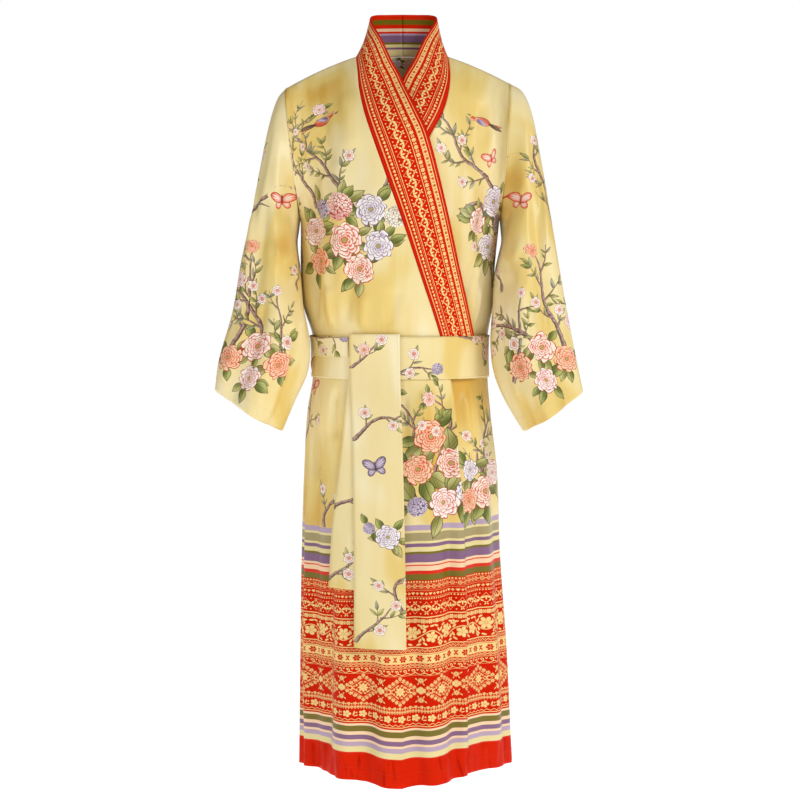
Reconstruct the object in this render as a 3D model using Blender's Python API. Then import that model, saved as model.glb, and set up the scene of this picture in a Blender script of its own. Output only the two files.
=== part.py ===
"""A kimono robe, hollow and filled out as it is when worn, with its own sash tied.

Metres, +Z up. X runs to the wearer's left, -Y is the front. The origin lies midway
between the two side-neck points, where the shoulders of a wearer hold the robe up.
Every panel is a wall of cloth: a grid of outer points and a grid of inner points,
closed round the rim. The body's points come from one surface, worked out from the
sections, so that neighbouring panels share their seams.
"""

import math
from collections import namedtuple

import bpy
import numpy as np

RIGHT, LEFT = -1, 1
FRONT, BACK = -1, 1

CLOTH = 0.0018
COLLAR_CLOTH = 0.0024
SEAM_GAP = 0.0003
HALF_GAP = SEAM_GAP / 2

NECK_HALF = 0.0785
NECK_BACK = 0.075
NECK_RISE = 0.010
NECK_FADE = 0.025
SHOULDER_SLOPE = 0.33
SHOULDER_CURVE = 1.0
SHOULDER_SETTLE = 0.16
SHOULDER_ROUND = 0.17
SHOULDER_POWER = 2.6
ARM_HALF_DEPTH = 0.062
UNDERARM_Z = -0.275
HEM_RISE = 0.009
HEM_RISES_BELOW = -0.85
SECTION_POWER = 2.2
ARMHOLE_POWER = 6
FOLDS_FREE_BELOW_ARM = 0.08

LAYER = 0.0065
COVER_MARGIN = 0.006
MOST_COVER = 0.97
UNDER_SINKS_BELOW = -0.030
UNDER_SINKS_OVER = 0.080

# Helpers of the working out: a width to start a search from, the share of a side seam
# that a search reaches, where the middle line of a form lies, and a small length.
USUAL_HALF_WIDTH = 0.17
NEARLY_AT_SIDE = 0.999
MIDDLE_SHARE = 0.25
MIDDLE_DROP = 0.02
TINY = 1e-4

ARM_ROWS = 12
NECK_COLUMNS = 4
SHOULDER_COLUMNS = 5
OVER_COLUMNS = 16
UNDER_COLUMNS = 14
COLLAR_COLUMNS = 4
SLEEVE_RINGS = 18
LOWER_ROWS_Z = (
    -0.310, -0.350, -0.395, -0.435, -0.475, -0.510, -0.545, -0.585,
    -0.635, -0.695, -0.765, -0.845, -0.930, -1.020, -1.120, -1.2225,
)

# One row for each level: half widths on the wearer's right and left, depths of the
# front and the back, and how sharp the corner at the side is (1 is a plain ridge).
Section = namedtuple("Section", "z right left front back corner")
SECTIONS = (
    Section(-0.056, 0.1970, 0.1830, 0.100, 0.100, 0.50),
    Section(-0.200, 0.1825, 0.1730, 0.112, 0.108, 0.50),
    Section(-0.275, 0.1740, 0.1670, 0.115, 0.106, 0.50),
    Section(-0.360, 0.1735, 0.1590, 0.114, 0.102, 0.48),
    Section(-0.425, 0.1690, 0.1555, 0.110, 0.098, 0.46),
    Section(-0.475, 0.1535, 0.1475, 0.105, 0.094, 0.46),
    Section(-0.545, 0.1535, 0.1475, 0.106, 0.096, 0.46),
    Section(-0.600, 0.1625, 0.1520, 0.117, 0.104, 0.47),
    Section(-0.700, 0.1690, 0.1640, 0.130, 0.115, 0.52),
    Section(-0.850, 0.1745, 0.1705, 0.142, 0.128, 0.62),
    Section(-1.020, 0.1775, 0.1830, 0.150, 0.139, 0.74),
    Section(-1.2225, 0.1805, 0.1930, 0.155, 0.147, 0.92),
)

# One row for each fold: where it lies round the body in degrees (0 is the front,
# 90 the wearer's left side), where it starts and is full, its spread and its depth.
Fold = namedtuple("Fold", "angle start full spread depth")
FOLDS = (
    Fold(-52, -0.62, -1.22, 9, -0.008),
    Fold(-34, -0.60, -1.20, 8, 0.013),
    Fold(-21, -0.66, -1.20, 7, -0.007),
    Fold(-9, -0.70, -1.22, 8, 0.012),
    Fold(5, -0.70, -1.22, 7, -0.006),
    Fold(19, -0.62, -1.20, 8, 0.010),
    Fold(40, -0.60, -1.20, 10, -0.007),
    Fold(128, -0.60, -1.20, 10, 0.009),
    Fold(150, -0.66, -1.20, 9, -0.007),
    Fold(171, -0.58, -1.22, 9, 0.011),
    Fold(-168, -0.62, -1.20, 8, -0.008),
    Fold(-148, -0.60, -1.20, 9, 0.010),
    Fold(-124, -0.64, -1.20, 9, -0.007),
)
CHEST_FOLDS = (
    Fold(-36, -0.10, -0.24, 8, 0.006),
    Fold(-24, -0.12, -0.26, 8, -0.002),
    Fold(150, -0.12, -0.30, 10, 0.006),
    Fold(-152, -0.12, -0.30, 10, 0.006),
    Fold(178, -0.16, -0.32, 9, -0.005),
)
CHEST_FOLD_END = -0.46

# Where each front is sewn to its collar band, and below the sash where it ends.
FrontEdge = namedtuple("FrontEdge", "z over under")
FRONT_EDGES = (
    FrontEdge(0.000, -0.0785, 0.0785),
    FrontEdge(-0.025, -0.0755, 0.0810),
    FrontEdge(-0.060, -0.0720, 0.0800),
    FrontEdge(-0.100, -0.0635, 0.0700),
    FrontEdge(-0.145, -0.0490, 0.0460),
    FrontEdge(-0.190, -0.0330, 0.0260),
    FrontEdge(-0.272, -0.0033, -0.0040),
    FrontEdge(-0.371, 0.0300, -0.0340),
    FrontEdge(-0.474, 0.0635, -0.0660),
    FrontEdge(-0.550, 0.0825, -0.0840),
    FrontEdge(-0.710, 0.0955, -0.0960),
    FrontEdge(-0.825, 0.1040, -0.1040),
    FrontEdge(-1.135, 0.1120, -0.1120),
    FrontEdge(-1.230, 0.1140, -0.1140),
)

# The collar's free edge, from the centre back over the side neck to the chest.
FreeEdge = namedtuple("FreeEdge", "x y z")
NECK_FREE_EDGE = (
    FreeEdge(0.0000, 0.0740, 0.0830),
    FreeEdge(-0.0250, 0.0710, 0.0822),
    FreeEdge(-0.0455, 0.0580, 0.0795),
    FreeEdge(-0.0550, 0.0400, 0.0720),
    FreeEdge(-0.0490, 0.0160, 0.0560),
    FreeEdge(-0.0335, -0.0130, 0.0270),
    FreeEdge(-0.0175, -0.0360, -0.0100),
    FreeEdge(-0.0045, -0.0500, -0.0340),
)
ChestEdge = namedtuple("ChestEdge", "x z")
CHEST_FREE_EDGE = (
    ChestEdge(0.0035, -0.0520),
    ChestEdge(0.0250, -0.0980),
    ChestEdge(0.0445, -0.1437),
    ChestEdge(0.0711, -0.2479),
    ChestEdge(0.0961, -0.3632),
    ChestEdge(0.1180, -0.4600),
    ChestEdge(0.1265, -0.4980),
)
COLLAR_END_ROW = ARM_ROWS + 6
NECK_TURN_ROWS = 6
NECK_STANDS_ABOVE = -0.030
CHEST_LIES_BELOW = -0.085
NECK_BULGE = 0.004
NECK_LEAN = 0.02
NECK_SPREAD = {RIGHT: 1.0, LEFT: 1.10}
NECK_SINKS_BELOW = 0.030
NECK_SINKS_OVER = 0.075

# One row for each ring of the sleeves: the top fold and the underarm fold of each
# sleeve, and how far the tube reaches to the front and to the back.
Ring = namedtuple("Ring", "right_top right_under left_top left_under depth ahead")
SLEEVE_TABLE = (
    Ring((0.2120, -0.0720), (0.1765, -0.2960), (0.2060, -0.0610), (0.1690, -0.2950), 0.064, -0.004),
    Ring((0.2250, -0.1150), (0.1785, -0.3220), (0.2215, -0.1020), (0.1690, -0.3220), 0.067, -0.015),
    Ring((0.2395, -0.1900), (0.1715, -0.3720), (0.2350, -0.1780), (0.1565, -0.3720), 0.070, -0.032),
    Ring((0.2525, -0.2680), (0.1665, -0.4250), (0.2490, -0.2660), (0.1530, -0.4250), 0.073, -0.048),
    Ring((0.2695, -0.3480), (0.1555, -0.4850), (0.2625, -0.3530), (0.1490, -0.4850), 0.075, -0.060),
    Ring((0.2830, -0.4300), (0.1590, -0.5350), (0.2775, -0.4410), (0.1545, -0.5350), 0.076, -0.068),
    Ring((0.3045, -0.5070), (0.1800, -0.5830), (0.2905, -0.5100), (0.1730, -0.5820), 0.076, -0.072),
    Ring((0.3122, -0.5610), (0.2006, -0.6320), (0.3013, -0.5640), (0.2031, -0.6330), 0.073, -0.074),
)
# Folds along a sleeve: degrees round the tube (0 top, 90 front), start and full
# along it as shares of its length, spread in degrees and depth.
SLEEVE_FOLDS = (
    Fold(32, 0.10, 0.55, 16, 0.006),
    Fold(62, 0.05, 0.50, 15, -0.006),
    Fold(100, 0.15, 0.75, 18, 0.007),
    Fold(138, 0.05, 0.60, 15, -0.005),
    Fold(222, 0.10, 0.60, 17, 0.006),
    Fold(262, 0.10, 0.60, 17, -0.006),
    Fold(300, 0.10, 0.70, 17, 0.006),
)

SASH_TOP = -0.4735
SASH_BOTTOM = -0.5445
SASH_AIR = 0.0013
SASH_LAYER_AIR = 0.0008
SASH_START = -104.0
SASH_END = 325.0
SASH_LIFT_FROM = 205.0
SASH_LIFT_TO = 248.0
SASH_NARROW_FROM = 262.0
SASH_NARROW_BOTTOM = -0.5040
SASH_NARROW_DROP = 0.0015
SASH_STEP = 8.25
SASH_ROWS = 3

# The hanging ends: a row for each level, with the two side edges and the air to the
# cloth under it.
TailRow = namedtuple("TailRow", "z left right air")
LONG_TAIL = (
    TailRow(-0.4760, -0.0850, -0.0035, 0.0065),
    TailRow(-0.4850, -0.0850, -0.0033, 0.0065),
    TailRow(-0.5150, -0.0845, -0.0030, 0.0065),
    TailRow(-0.5500, -0.0840, -0.0025, 0.0062),
    TailRow(-0.5950, -0.0820, -0.0010, 0.0044),
    TailRow(-0.6500, -0.0800, 0.0008, 0.0042),
    TailRow(-0.7300, -0.0783, 0.0028, 0.0042),
    TailRow(-0.8150, -0.0765, 0.0045, 0.0042),
    TailRow(-0.9000, -0.0752, 0.0058, 0.0040),
    TailRow(-0.9870, -0.0745, 0.0066, 0.0034),
)
SHORT_TAIL = (
    TailRow(-0.4980, -0.0805, -0.0120, 0.0039),
    TailRow(-0.5200, -0.0815, -0.0120, 0.0039),
    TailRow(-0.5500, -0.0875, -0.0170, 0.0036),
    TailRow(-0.5950, -0.0935, -0.0230, 0.0018),
    TailRow(-0.6500, -0.0985, -0.0290, 0.0015),
    TailRow(-0.7200, -0.1065, -0.0350, 0.0014),
    TailRow(-0.8000, -0.1140, -0.0410, 0.0014),
    TailRow(-0.8920, -0.1175, -0.0440, 0.0014),
)
TAIL_COLUMNS = 5
TAIL_ANGLES = (-50, 4)
# The fold over the sash's top edge: rows of air and rise, and the centre that it turns about.
TAIL_LIP = ((0.0020, 0.0012), (0.0040, 0.0030), (0.0061, 0.0014))
TAIL_LIP_CENTRE = 0.0015
TAIL_LIP_LEAN = 0.0030

Paint = namedtuple("Paint", "red green blue roughness metallic")
PAINTS = {
    "silk": Paint(0.78, 0.60, 0.24, 0.42, 0.0),
    "collar": Paint(0.72, 0.06, 0.02, 0.45, 0.0),
}


def mix(a, b, share):
    return a + (b - a) * share


def smooth_step(share):
    share = min(max(share, 0.0), 1.0)
    return share * share * (3 - 2 * share)


def unit(vector):
    vector = np.asarray(vector, float)
    return vector / max(np.linalg.norm(vector), 1e-12)


def along_table(table, key, column, at):
    """A column of a table read between its rows with a smooth curve."""
    keys = np.array([getattr(row, key) for row in table])
    values = np.array([getattr(row, column) for row in table])
    if keys[0] > keys[-1]:
        keys, values = keys[::-1], values[::-1]
    at = min(max(at, keys[0]), keys[-1])
    slopes = np.gradient(values, keys)
    i = min(max(int(np.searchsorted(keys, at)) - 1, 0), len(keys) - 2)
    span = keys[i + 1] - keys[i]
    t = (at - keys[i]) / span
    return (
        (2 * t**3 - 3 * t**2 + 1) * values[i]
        + (t**3 - 2 * t**2 + t) * span * slopes[i]
        + (3 * t**2 - 2 * t**3) * values[i + 1]
        + (t**3 - t**2) * span * slopes[i + 1]
    )


def half_width(z, side):
    return along_table(SECTIONS, "z", "right" if side == RIGHT else "left", z)


def shoulder_z(x):
    out = max(abs(x) - NECK_HALF, 0.0)
    return -(SHOULDER_SLOPE * out + SHOULDER_CURVE * out**2)


TIP_Z = {side: shoulder_z(half_width(0.0, side)) for side in (RIGHT, LEFT)}


def side_z(row, side):
    """Height of a row at the side: round the armhole first, then level rows."""
    middle = (TIP_Z[side] + UNDERARM_Z) / 2
    if row <= ARM_ROWS:
        return middle + (TIP_Z[side] - middle) * math.cos(math.pi * row / ARM_ROWS)
    levels = (UNDERARM_Z,) + LOWER_ROWS_Z
    return float(np.interp(row - ARM_ROWS, range(len(levels)), levels))


LAST_ROW = ARM_ROWS + len(LOWER_ROWS_Z)


def fold_height(angle, z):
    """How far the cloth stands out of its plain section in the folds."""
    height = 0.0
    for fold in FOLDS + CHEST_FOLDS:
        away = (angle - fold.angle + 180) % 360 - 180
        ramp = smooth_step((fold.start - z) / (fold.start - fold.full))
        if fold in CHEST_FOLDS:
            ramp *= smooth_step((z - CHEST_FOLD_END) / (fold.full - CHEST_FOLD_END))
        height += fold.depth * ramp * math.exp(-((away / fold.spread) ** 2))
    return height


def side_height(u, row):
    """The height of a row at the side, blended from one side of the body to the other."""
    return mix(side_z(row, RIGHT), side_z(row, LEFT), (u + 1) / 2)


def body_x(u, row):
    return u * half_width(side_height(u, row), LEFT if u > 0 else RIGHT)


def body_z(u, row):
    tip = mix(TIP_Z[RIGHT], TIP_Z[LEFT], (u + 1) / 2)
    at_side = side_height(u, row)
    lift = max(shoulder_z(body_x(u, row)) - tip, 0.0)
    low = smooth_step((HEM_RISES_BELOW - at_side) / (HEM_RISES_BELOW - LOWER_ROWS_Z[-1]))
    rise = HEM_RISE * low * 4 * abs(u) * (1 - abs(u))
    return at_side + rise + lift * (1 - smooth_step((tip - at_side) / SHOULDER_SETTLE))


def body_corner(row, z):
    """How sharp the section's side is: a flat side seam, open at the armhole."""
    corner = along_table(SECTIONS, "z", "corner", z)
    if row <= ARM_ROWS / 2:
        return 1.0
    if row >= ARM_ROWS:
        return corner
    return mix(corner, 1.0, smooth_step(2 - 2 * row / ARM_ROWS))


def body_point(u, row, face, out=0.0, folded=True):
    """A point of the robe's outer surface. u runs from -1 at one side to 1 at the other."""
    x, z = body_x(u, row), body_z(u, row)
    tip = mix(TIP_Z[RIGHT], TIP_Z[LEFT], (u + 1) / 2)
    drop = tip - side_height(u, row)
    lift = max(shoulder_z(x) - tip, 0.0)
    share = min((drop + lift * smooth_step(drop / SHOULDER_SETTLE)) / SHOULDER_ROUND, 1.0)
    fullness = 1 - (1 - share) ** SHOULDER_POWER
    armhole = math.sin(math.pi * row / ARM_ROWS) if row < ARM_ROWS else 0.0
    edge = ARM_HALF_DEPTH * armhole * abs(u) ** ARMHOLE_POWER
    depth = along_table(SECTIONS, "z", "front" if face == FRONT else "back", z)
    corner = body_corner(row, z)
    crown = max(1 - abs(u) ** SECTION_POWER, 0.0) ** corner
    y = edge + (depth * fullness - edge) * crown
    if face == BACK and abs(x) < NECK_HALF:
        across = x / NECK_HALF
        y += NECK_BACK * (1 - across**2) ** (0.5 + drop / NECK_FADE) * (1 - fullness)
        z += NECK_RISE * (1 - across**2) * (1 - fullness)
    angle = math.degrees(math.asin(min(max(u, -1.0), 1.0)))
    if face == BACK:
        angle = 180 - angle
    held = smooth_step((UNDERARM_Z - z) / FOLDS_FREE_BELOW_ARM)
    loose = held + (1 - held) * (1 - u**4)
    out += fold_height(angle, z) * loose if folded else 0.0
    half = half_width(z, LEFT if u > 0 else RIGHT)
    normal = unit((x / half**2, face * max(y, TINY) / depth**2))
    return np.array((x + normal[0] * out, face * y + normal[1] * out, z))


def spot(x, z):
    """The u and the row of the front surface at a place seen from the front."""
    side = LEFT if x > 0 else RIGHT
    low, high = 0.0, float(LAST_ROW)
    for _ in range(40):
        row = (low + high) / 2
        u = x / USUAL_HALF_WIDTH
        for _ in range(3):
            u = min(max(x / half_width(side_height(u, row), side), -1.0), 1.0)
        if body_z(u, row) > z:
            low = row
        else:
            high = row
    return u, (low + high) / 2


def chest_point(x, z, out=0.0, folded=True):
    return body_point(*spot(x, z), FRONT, out, folded)


def front_edge_u(row, column):
    """Where a row of a front meets the line of its edge."""
    low, high = -NEARLY_AT_SIDE, NEARLY_AT_SIDE
    for _ in range(40):
        u = (low + high) / 2
        if body_x(u, row) < along_table(FRONT_EDGES, "z", column, body_z(u, row)):
            low = u
        else:
            high = u
    return (low + high) / 2


def over_reach(z):
    """How far the over front and its collar reach across, at a height."""
    reach = along_table(FRONT_EDGES, "z", "over", z)
    if z > CHEST_FREE_EDGE[-1].z:
        reach = max(reach, along_table(CHEST_FREE_EDGE, "z", "x", z))
    return reach + COVER_MARGIN


def under_inset(u, row):
    """How far the under front lies inside the over front: none at its own side seam."""
    z = body_z(u, row)
    reach = min(over_reach(z) / half_width(z, LEFT), MOST_COVER)
    to_side = math.acos(max(min(u, 1.0), -1.0)) / math.acos(reach)
    return LAYER * smooth_step(to_side) * smooth_step((UNDER_SINKS_BELOW - z) / UNDER_SINKS_OVER)


def grid_normals(grid, away_from):
    """Unit normals of a grid of points, facing away from a line of points."""
    down = np.gradient(grid, axis=0)
    across = np.gradient(grid, axis=1)
    normals = np.cross(across, down)
    lengths = np.linalg.norm(normals, axis=2, keepdims=True)
    normals = normals / np.maximum(lengths, 1e-12)
    flip = np.sum(normals * (grid - away_from), axis=2, keepdims=True) < 0
    return np.where(flip, -normals, normals)


def body_normals(grid):
    centre = grid * np.array((MIDDLE_SHARE, 0.0, 1.0))
    centre[..., 2] -= MIDDLE_DROP
    return grid_normals(grid, centre)


def sew_edges(grid, normals, face, side_columns):
    """Turns the walls at the shoulder, armhole and side seams so that neighbours meet."""
    for column, side in side_columns:
        for row in range(len(grid)):
            phi = math.pi * row / ARM_ROWS
            ring_half = (TIP_Z[side] - UNDERARM_Z) / 2
            if row < ARM_ROWS:
                normals[row, column] = unit(
                    (0, face * math.sin(phi) / ARM_HALF_DEPTH, math.cos(phi) / ring_half)
                )
                grid[row, column, 0] -= side * HALF_GAP
            elif row == ARM_ROWS:
                normals[row, column] = unit((side, 0, -1))
                grid[row, column, 0] -= side * HALF_GAP
            else:
                normals[row, column] = (side, 0, 0)
            if row in (0, ARM_ROWS) or row > ARM_ROWS:
                grid[row, column, 1] = face * HALF_GAP
    for column in range(grid.shape[1]):
        x, y, _ = grid[0, column]
        side = LEFT if x > 0 else RIGHT
        if abs(x) > NECK_HALF + TINY:
            slope = SHOULDER_SLOPE + 2 * SHOULDER_CURVE * (abs(x) - NECK_HALF)
            normals[0, column] = unit((side * slope, 0, 1))
            grid[0, column, 1] = face * HALF_GAP
        elif abs(x) > NECK_HALF - TINY:
            normals[0, column] = (side, 0, 0)
            grid[0, column, 1] = face * HALF_GAP
        else:
            normals[0, column] = unit((x / NECK_HALF**2, y / NECK_BACK**2, 0))


def make_object(name, paint, outer, inner, closed=False):
    """A closed wall between two grids of points, as a mesh object."""
    rows, columns = outer.shape[:2]
    points = np.concatenate((outer.reshape(-1, 3), inner.reshape(-1, 3)))
    inside = rows * columns

    def at(layer, row, column):
        return layer * inside + row * columns + column % columns

    faces = []
    spans = columns if closed else columns - 1
    for row in range(rows - 1):
        for column in range(spans):
            corners = ((row, column), (row, column + 1), (row + 1, column + 1), (row + 1, column))
            faces.append([at(0, *corner) for corner in corners])
            faces.append([at(1, *corner) for corner in reversed(corners)])
    for column in range(spans):
        for row, turn in ((0, 1), (rows - 1, -1)):
            near = [at(layer, row, column) for layer in (0, 1)]
            far = [at(layer, row, column + 1) for layer in (0, 1)]
            faces.append([far[0], near[0], near[1], far[1]][::turn])
    if not closed:
        for row in range(rows - 1):
            for column, turn in ((0, 1), (columns - 1, -1)):
                near = [at(layer, row, column) for layer in (0, 1)]
                far = [at(layer, row + 1, column) for layer in (0, 1)]
                faces.append([near[0], far[0], far[1]][::turn])
                faces.append([near[0], far[1], near[1]][::turn])
    mesh = bpy.data.meshes.new(name)
    mesh.from_pydata([tuple(point) for point in points], [], faces)
    mesh.update()
    if signed_volume(mesh) < 0:
        mesh.flip_normals()
    mesh.shade_smooth()
    mesh.set_sharp_from_angle(angle=math.radians(40))
    mesh.materials.append(materials[paint])
    robe_piece = bpy.data.objects.new(name, mesh)
    robe_piece.parent = shoulders
    bpy.context.scene.collection.objects.link(robe_piece)
    return robe_piece


def signed_volume(mesh):
    total = 0.0
    for polygon in mesh.polygons:
        corners = [mesh.vertices[i].co for i in polygon.vertices]
        for i in range(1, len(corners) - 1):
            total += corners[0].dot(corners[i].cross(corners[i + 1]))
    return total


def make_material(name, paint):
    material = bpy.data.materials.new(name)
    material.use_nodes = True
    shader = material.node_tree.nodes["Principled BSDF"]
    shader.inputs["Base Color"].default_value = (paint.red, paint.green, paint.blue, 1)
    shader.inputs["Roughness"].default_value = paint.roughness
    shader.inputs["Metallic"].default_value = paint.metallic
    return material


def back_columns():
    """Places across the back, with a column on each side-neck point."""
    places = []
    for side in (RIGHT, LEFT):
        widest = half_width(TIP_Z[side], side)
        neck = NECK_HALF / widest
        half = [neck * math.sin(math.pi / 2 * i / NECK_COLUMNS) for i in range(NECK_COLUMNS + 1)]
        start = math.asin(neck)
        for i in range(1, SHOULDER_COLUMNS + 1):
            half.append(math.sin(mix(start, math.pi / 2, i / SHOULDER_COLUMNS)))
        places.append([side * place for place in half])
    return places[0][::-1] + places[1][1:]


def build_back():
    places = back_columns()
    grid = np.array([[body_point(u, row, BACK) for u in places] for row in range(LAST_ROW + 1)])
    normals = body_normals(grid)
    top = grid[0].copy()
    sew_edges(grid, normals, BACK, ((0, RIGHT), (-1, LEFT)))
    make_object("back", "silk", grid, grid - CLOTH * normals)
    return top, normals[0]


def build_front(name, side, column, columns):
    """A front panel, from its side seam to the line where its collar is sewn on."""
    rows = []
    for row in range(LAST_ROW + 1):
        edge = math.asin(front_edge_u(row, column))
        places = [math.sin(mix(side * math.pi / 2, edge, i / columns)) for i in range(columns + 1)]
        rows.append(
            [
                body_point(u, row, FRONT, -under_inset(u, row) if side == LEFT else 0.0)
                for u in places
            ]
        )
    grid = np.array(rows)
    normals = body_normals(grid)
    sew_edges(grid, normals, FRONT, ((0, side),))
    for row in range(1, NECK_TURN_ROWS):
        share = smooth_step(row / NECK_TURN_ROWS)
        normals[row, -1] = unit(mix(normals[0, -1], normals[row, -1], share))
    make_object(name, "silk", grid, grid - CLOTH * normals)
    return grid[:, -1], normals[:, -1]


def free_edge_curve(side):
    """The collar's free edge as many points: standing at the neck, lying on the chest."""
    points = []
    for knot in NECK_FREE_EDGE:
        sunk = LAYER * smooth_step((NECK_SINKS_BELOW - knot.z) / NECK_SINKS_OVER)
        inset = sunk if side == LEFT else 0.0
        points.append((-side * knot.x * NECK_SPREAD[side], knot.y + inset, knot.z))
    for knot in CHEST_FREE_EDGE:
        points.append(chest_point(-side * knot.x, knot.z, -LAYER if side == LEFT else 0.0))
    return smooth_curve(np.array(points), 12)


def smooth_curve(knots, steps):
    """A Catmull-Rom curve through the knots."""
    ends = np.vstack((2 * knots[0] - knots[1], knots, 2 * knots[-1] - knots[-2]))
    found = []
    for i in range(1, len(ends) - 2):
        a, b, c, d = ends[i - 1 : i + 3]
        for t in np.arange(steps) / steps:
            found.append(
                0.5 * (2 * b + (c - a) * t + (2 * a - 5 * b + 4 * c - d) * t**2
                       + (3 * b - a - 3 * c + d) * t**3)
            )
    found.append(ends[-2])
    return np.array(found)


def lengths_along(points):
    steps = np.linalg.norm(np.diff(points, axis=0), axis=1)
    return np.concatenate(([0.0], np.cumsum(steps)))


def build_collar(name, side, neck_seam, neck_normals, front_seam, front_normals):
    """One half of the band collar, from the centre back seam down to under the sash."""
    seam = np.vstack((neck_seam, front_seam[1 : COLLAR_END_ROW + 1]))
    walls = np.vstack((neck_normals, front_normals[1 : COLLAR_END_ROW + 1]))
    free = free_edge_curve(side)
    seam_share = lengths_along(seam) / lengths_along(seam)[-1]
    free_share = lengths_along(free) / lengths_along(free)[-1]
    grid = np.zeros((len(seam), COLLAR_COLUMNS + 1, 3))
    for row, share in enumerate(seam_share):
        far = np.array([np.interp(share, free_share, free[:, i]) for i in range(3)])
        near = seam[row] + SEAM_GAP * unit(far - seam[row])
        for column in range(COLLAR_COLUMNS + 1):
            point = mix(near, far, column / COLLAR_COLUMNS)
            drop = (NECK_STANDS_ABOVE - point[2]) / (NECK_STANDS_ABOVE - CHEST_LIES_BELOW)
            lying = smooth_step(drop)
            bulge = NECK_BULGE * math.sin(math.pi * column / COLLAR_COLUMNS) * (1 - lying)
            point = point + bulge * unit((point[0], point[1], NECK_LEAN))
            if 0 < column < COLLAR_COLUMNS and lying > 0:
                inset = mix(seam_inset(seam[row]), LAYER, column / COLLAR_COLUMNS)
                lain = chest_point(point[0], point[2], -inset if side == LEFT else 0.0)
                point = mix(point, lain, lying)
            grid[row, column] = point
    grid[0, :, 0] = side * HALF_GAP
    normals = grid_normals(grid, grid * np.array((MIDDLE_SHARE, 0.0, 1.0)))
    for column in range(COLLAR_COLUMNS + 1):
        share = smooth_step(column / 2)
        for row in range(len(grid)):
            normals[row, column] = unit(mix(walls[row], normals[row, column], share))
        normals[0, column] = unit(normals[0, column] * np.array((0, 1, 1)))
    walls_thick = np.full(COLLAR_COLUMNS + 1, COLLAR_CLOTH)
    walls_thick[0] = CLOTH
    make_object(name, "collar", grid, grid - walls_thick[None, :, None] * normals)


def seam_inset(point):
    """How far a point of the under front's edge lies inside the plain surface."""
    plain = chest_point(point[0], point[2])
    return float(np.linalg.norm(plain - point))


def sleeve_rings(side):
    """Top, underarm, depth and lead of each ring of a sleeve, from armhole to cuff."""
    names = ("right_top", "right_under") if side == RIGHT else ("left_top", "left_under")
    knots = [
        (side * half_width(TIP_Z[side], side), TIP_Z[side], side * half_width(UNDERARM_Z, side),
         UNDERARM_Z, ARM_HALF_DEPTH, 0.0)
    ]
    for ring in SLEEVE_TABLE:
        top, under = (getattr(ring, name) for name in names)
        knots.append((side * top[0], top[1], side * under[0], under[1], ring.depth, ring.ahead))
    curve = smooth_curve(np.array(knots), 8)
    middles = np.stack(((curve[:, 0] + curve[:, 2]) / 2, (curve[:, 1] + curve[:, 3]) / 2), axis=1)
    along = lengths_along(middles)
    wanted = np.linspace(0, along[-1], SLEEVE_RINGS + 1)
    return np.array([[np.interp(s, along, curve[:, i]) for i in range(6)] for s in wanted])


def sleeve_fold(angle, share):
    height = 0.0
    for fold in SLEEVE_FOLDS:
        away = (angle - fold.angle + 180) % 360 - 180
        ramp = smooth_step((share - fold.start) / (fold.full - fold.start))
        height += fold.depth * ramp * math.exp(-((away / fold.spread) ** 2))
    return height


def build_sleeve(name, side):
    rings = sleeve_rings(side)
    around = 2 * ARM_ROWS
    outer = np.zeros((len(rings), around, 3))
    inner = np.zeros_like(outer)
    for i, (top_x, top_z, under_x, under_z, depth, ahead) in enumerate(rings):
        top, under = np.array((top_x, 0, top_z)), np.array((under_x, 0, under_z))
        half = np.linalg.norm(top - under) / 2
        up = unit(top - under)
        centre = (top + under) / 2 + np.array((0, ahead, 0))
        for j in range(around):
            phi = 2 * math.pi * j / around
            spoke = half * math.cos(phi) * up + np.array((0, -depth * math.sin(phi), 0))
            wall = unit(math.cos(phi) / half * up + np.array((0, -math.sin(phi) / depth, 0)))
            fold = sleeve_fold(math.degrees(phi), i / (len(rings) - 1))
            outer[i, j] = centre + spoke + wall * fold
            inner[i, j] = outer[i, j] - CLOTH * wall
    for j in range(around):
        z = outer[0, j, 2]
        shift = side * (half_width(z, side) + HALF_GAP) - outer[0, j, 0]
        outer[0, j, 0] += shift
        inner[0, j, 0] += shift
    make_object(name, "silk", outer, inner, closed=True)


def round_body(angle, z, out):
    """A point round the waist or skirt, clear of the folds. 0 is the front, 90 the left."""
    turned = (angle + 180) % 360 - 180
    face = FRONT if abs(turned) <= 90 else BACK
    depths = [-level for level in (UNDERARM_Z,) + LOWER_ROWS_Z]
    row = ARM_ROWS + float(np.interp(-z, depths, range(len(depths))))
    return body_point(math.sin(math.radians(turned)), row, face, out, folded=False)


def build_sash():
    """The sash goes once round the waist and laps over its own start at the right side."""
    steps = round((SASH_END - SASH_START) / SASH_STEP)
    lifted = CLOTH + SASH_LAYER_AIR
    outer = np.zeros((SASH_ROWS + 1, steps + 1, 3))
    inner = np.zeros_like(outer)
    for j in range(steps + 1):
        angle = mix(SASH_START, SASH_END, j / steps)
        lift = lifted * smooth_step((angle - SASH_LIFT_FROM) / (SASH_LIFT_TO - SASH_LIFT_FROM))
        narrow = smooth_step((angle - SASH_NARROW_FROM) / (SASH_END - SASH_NARROW_FROM))
        bottom = mix(SASH_BOTTOM, SASH_NARROW_BOTTOM, narrow)
        top = SASH_TOP - SASH_NARROW_DROP * narrow
        for i in range(SASH_ROWS + 1):
            z = mix(top, bottom, i / SASH_ROWS)
            inner[i, j] = round_body(angle, z, SASH_AIR + lift)
            outer[i, j] = round_body(angle, z, SASH_AIR + lift + CLOTH)
    make_object("belt_wrap", "silk", outer, inner)


def ridge_height(z):
    """How far the folds behind the hanging ends stand out at a height."""
    return max(fold_height(angle, z) for angle in range(*TAIL_ANGLES, 2))


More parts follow.
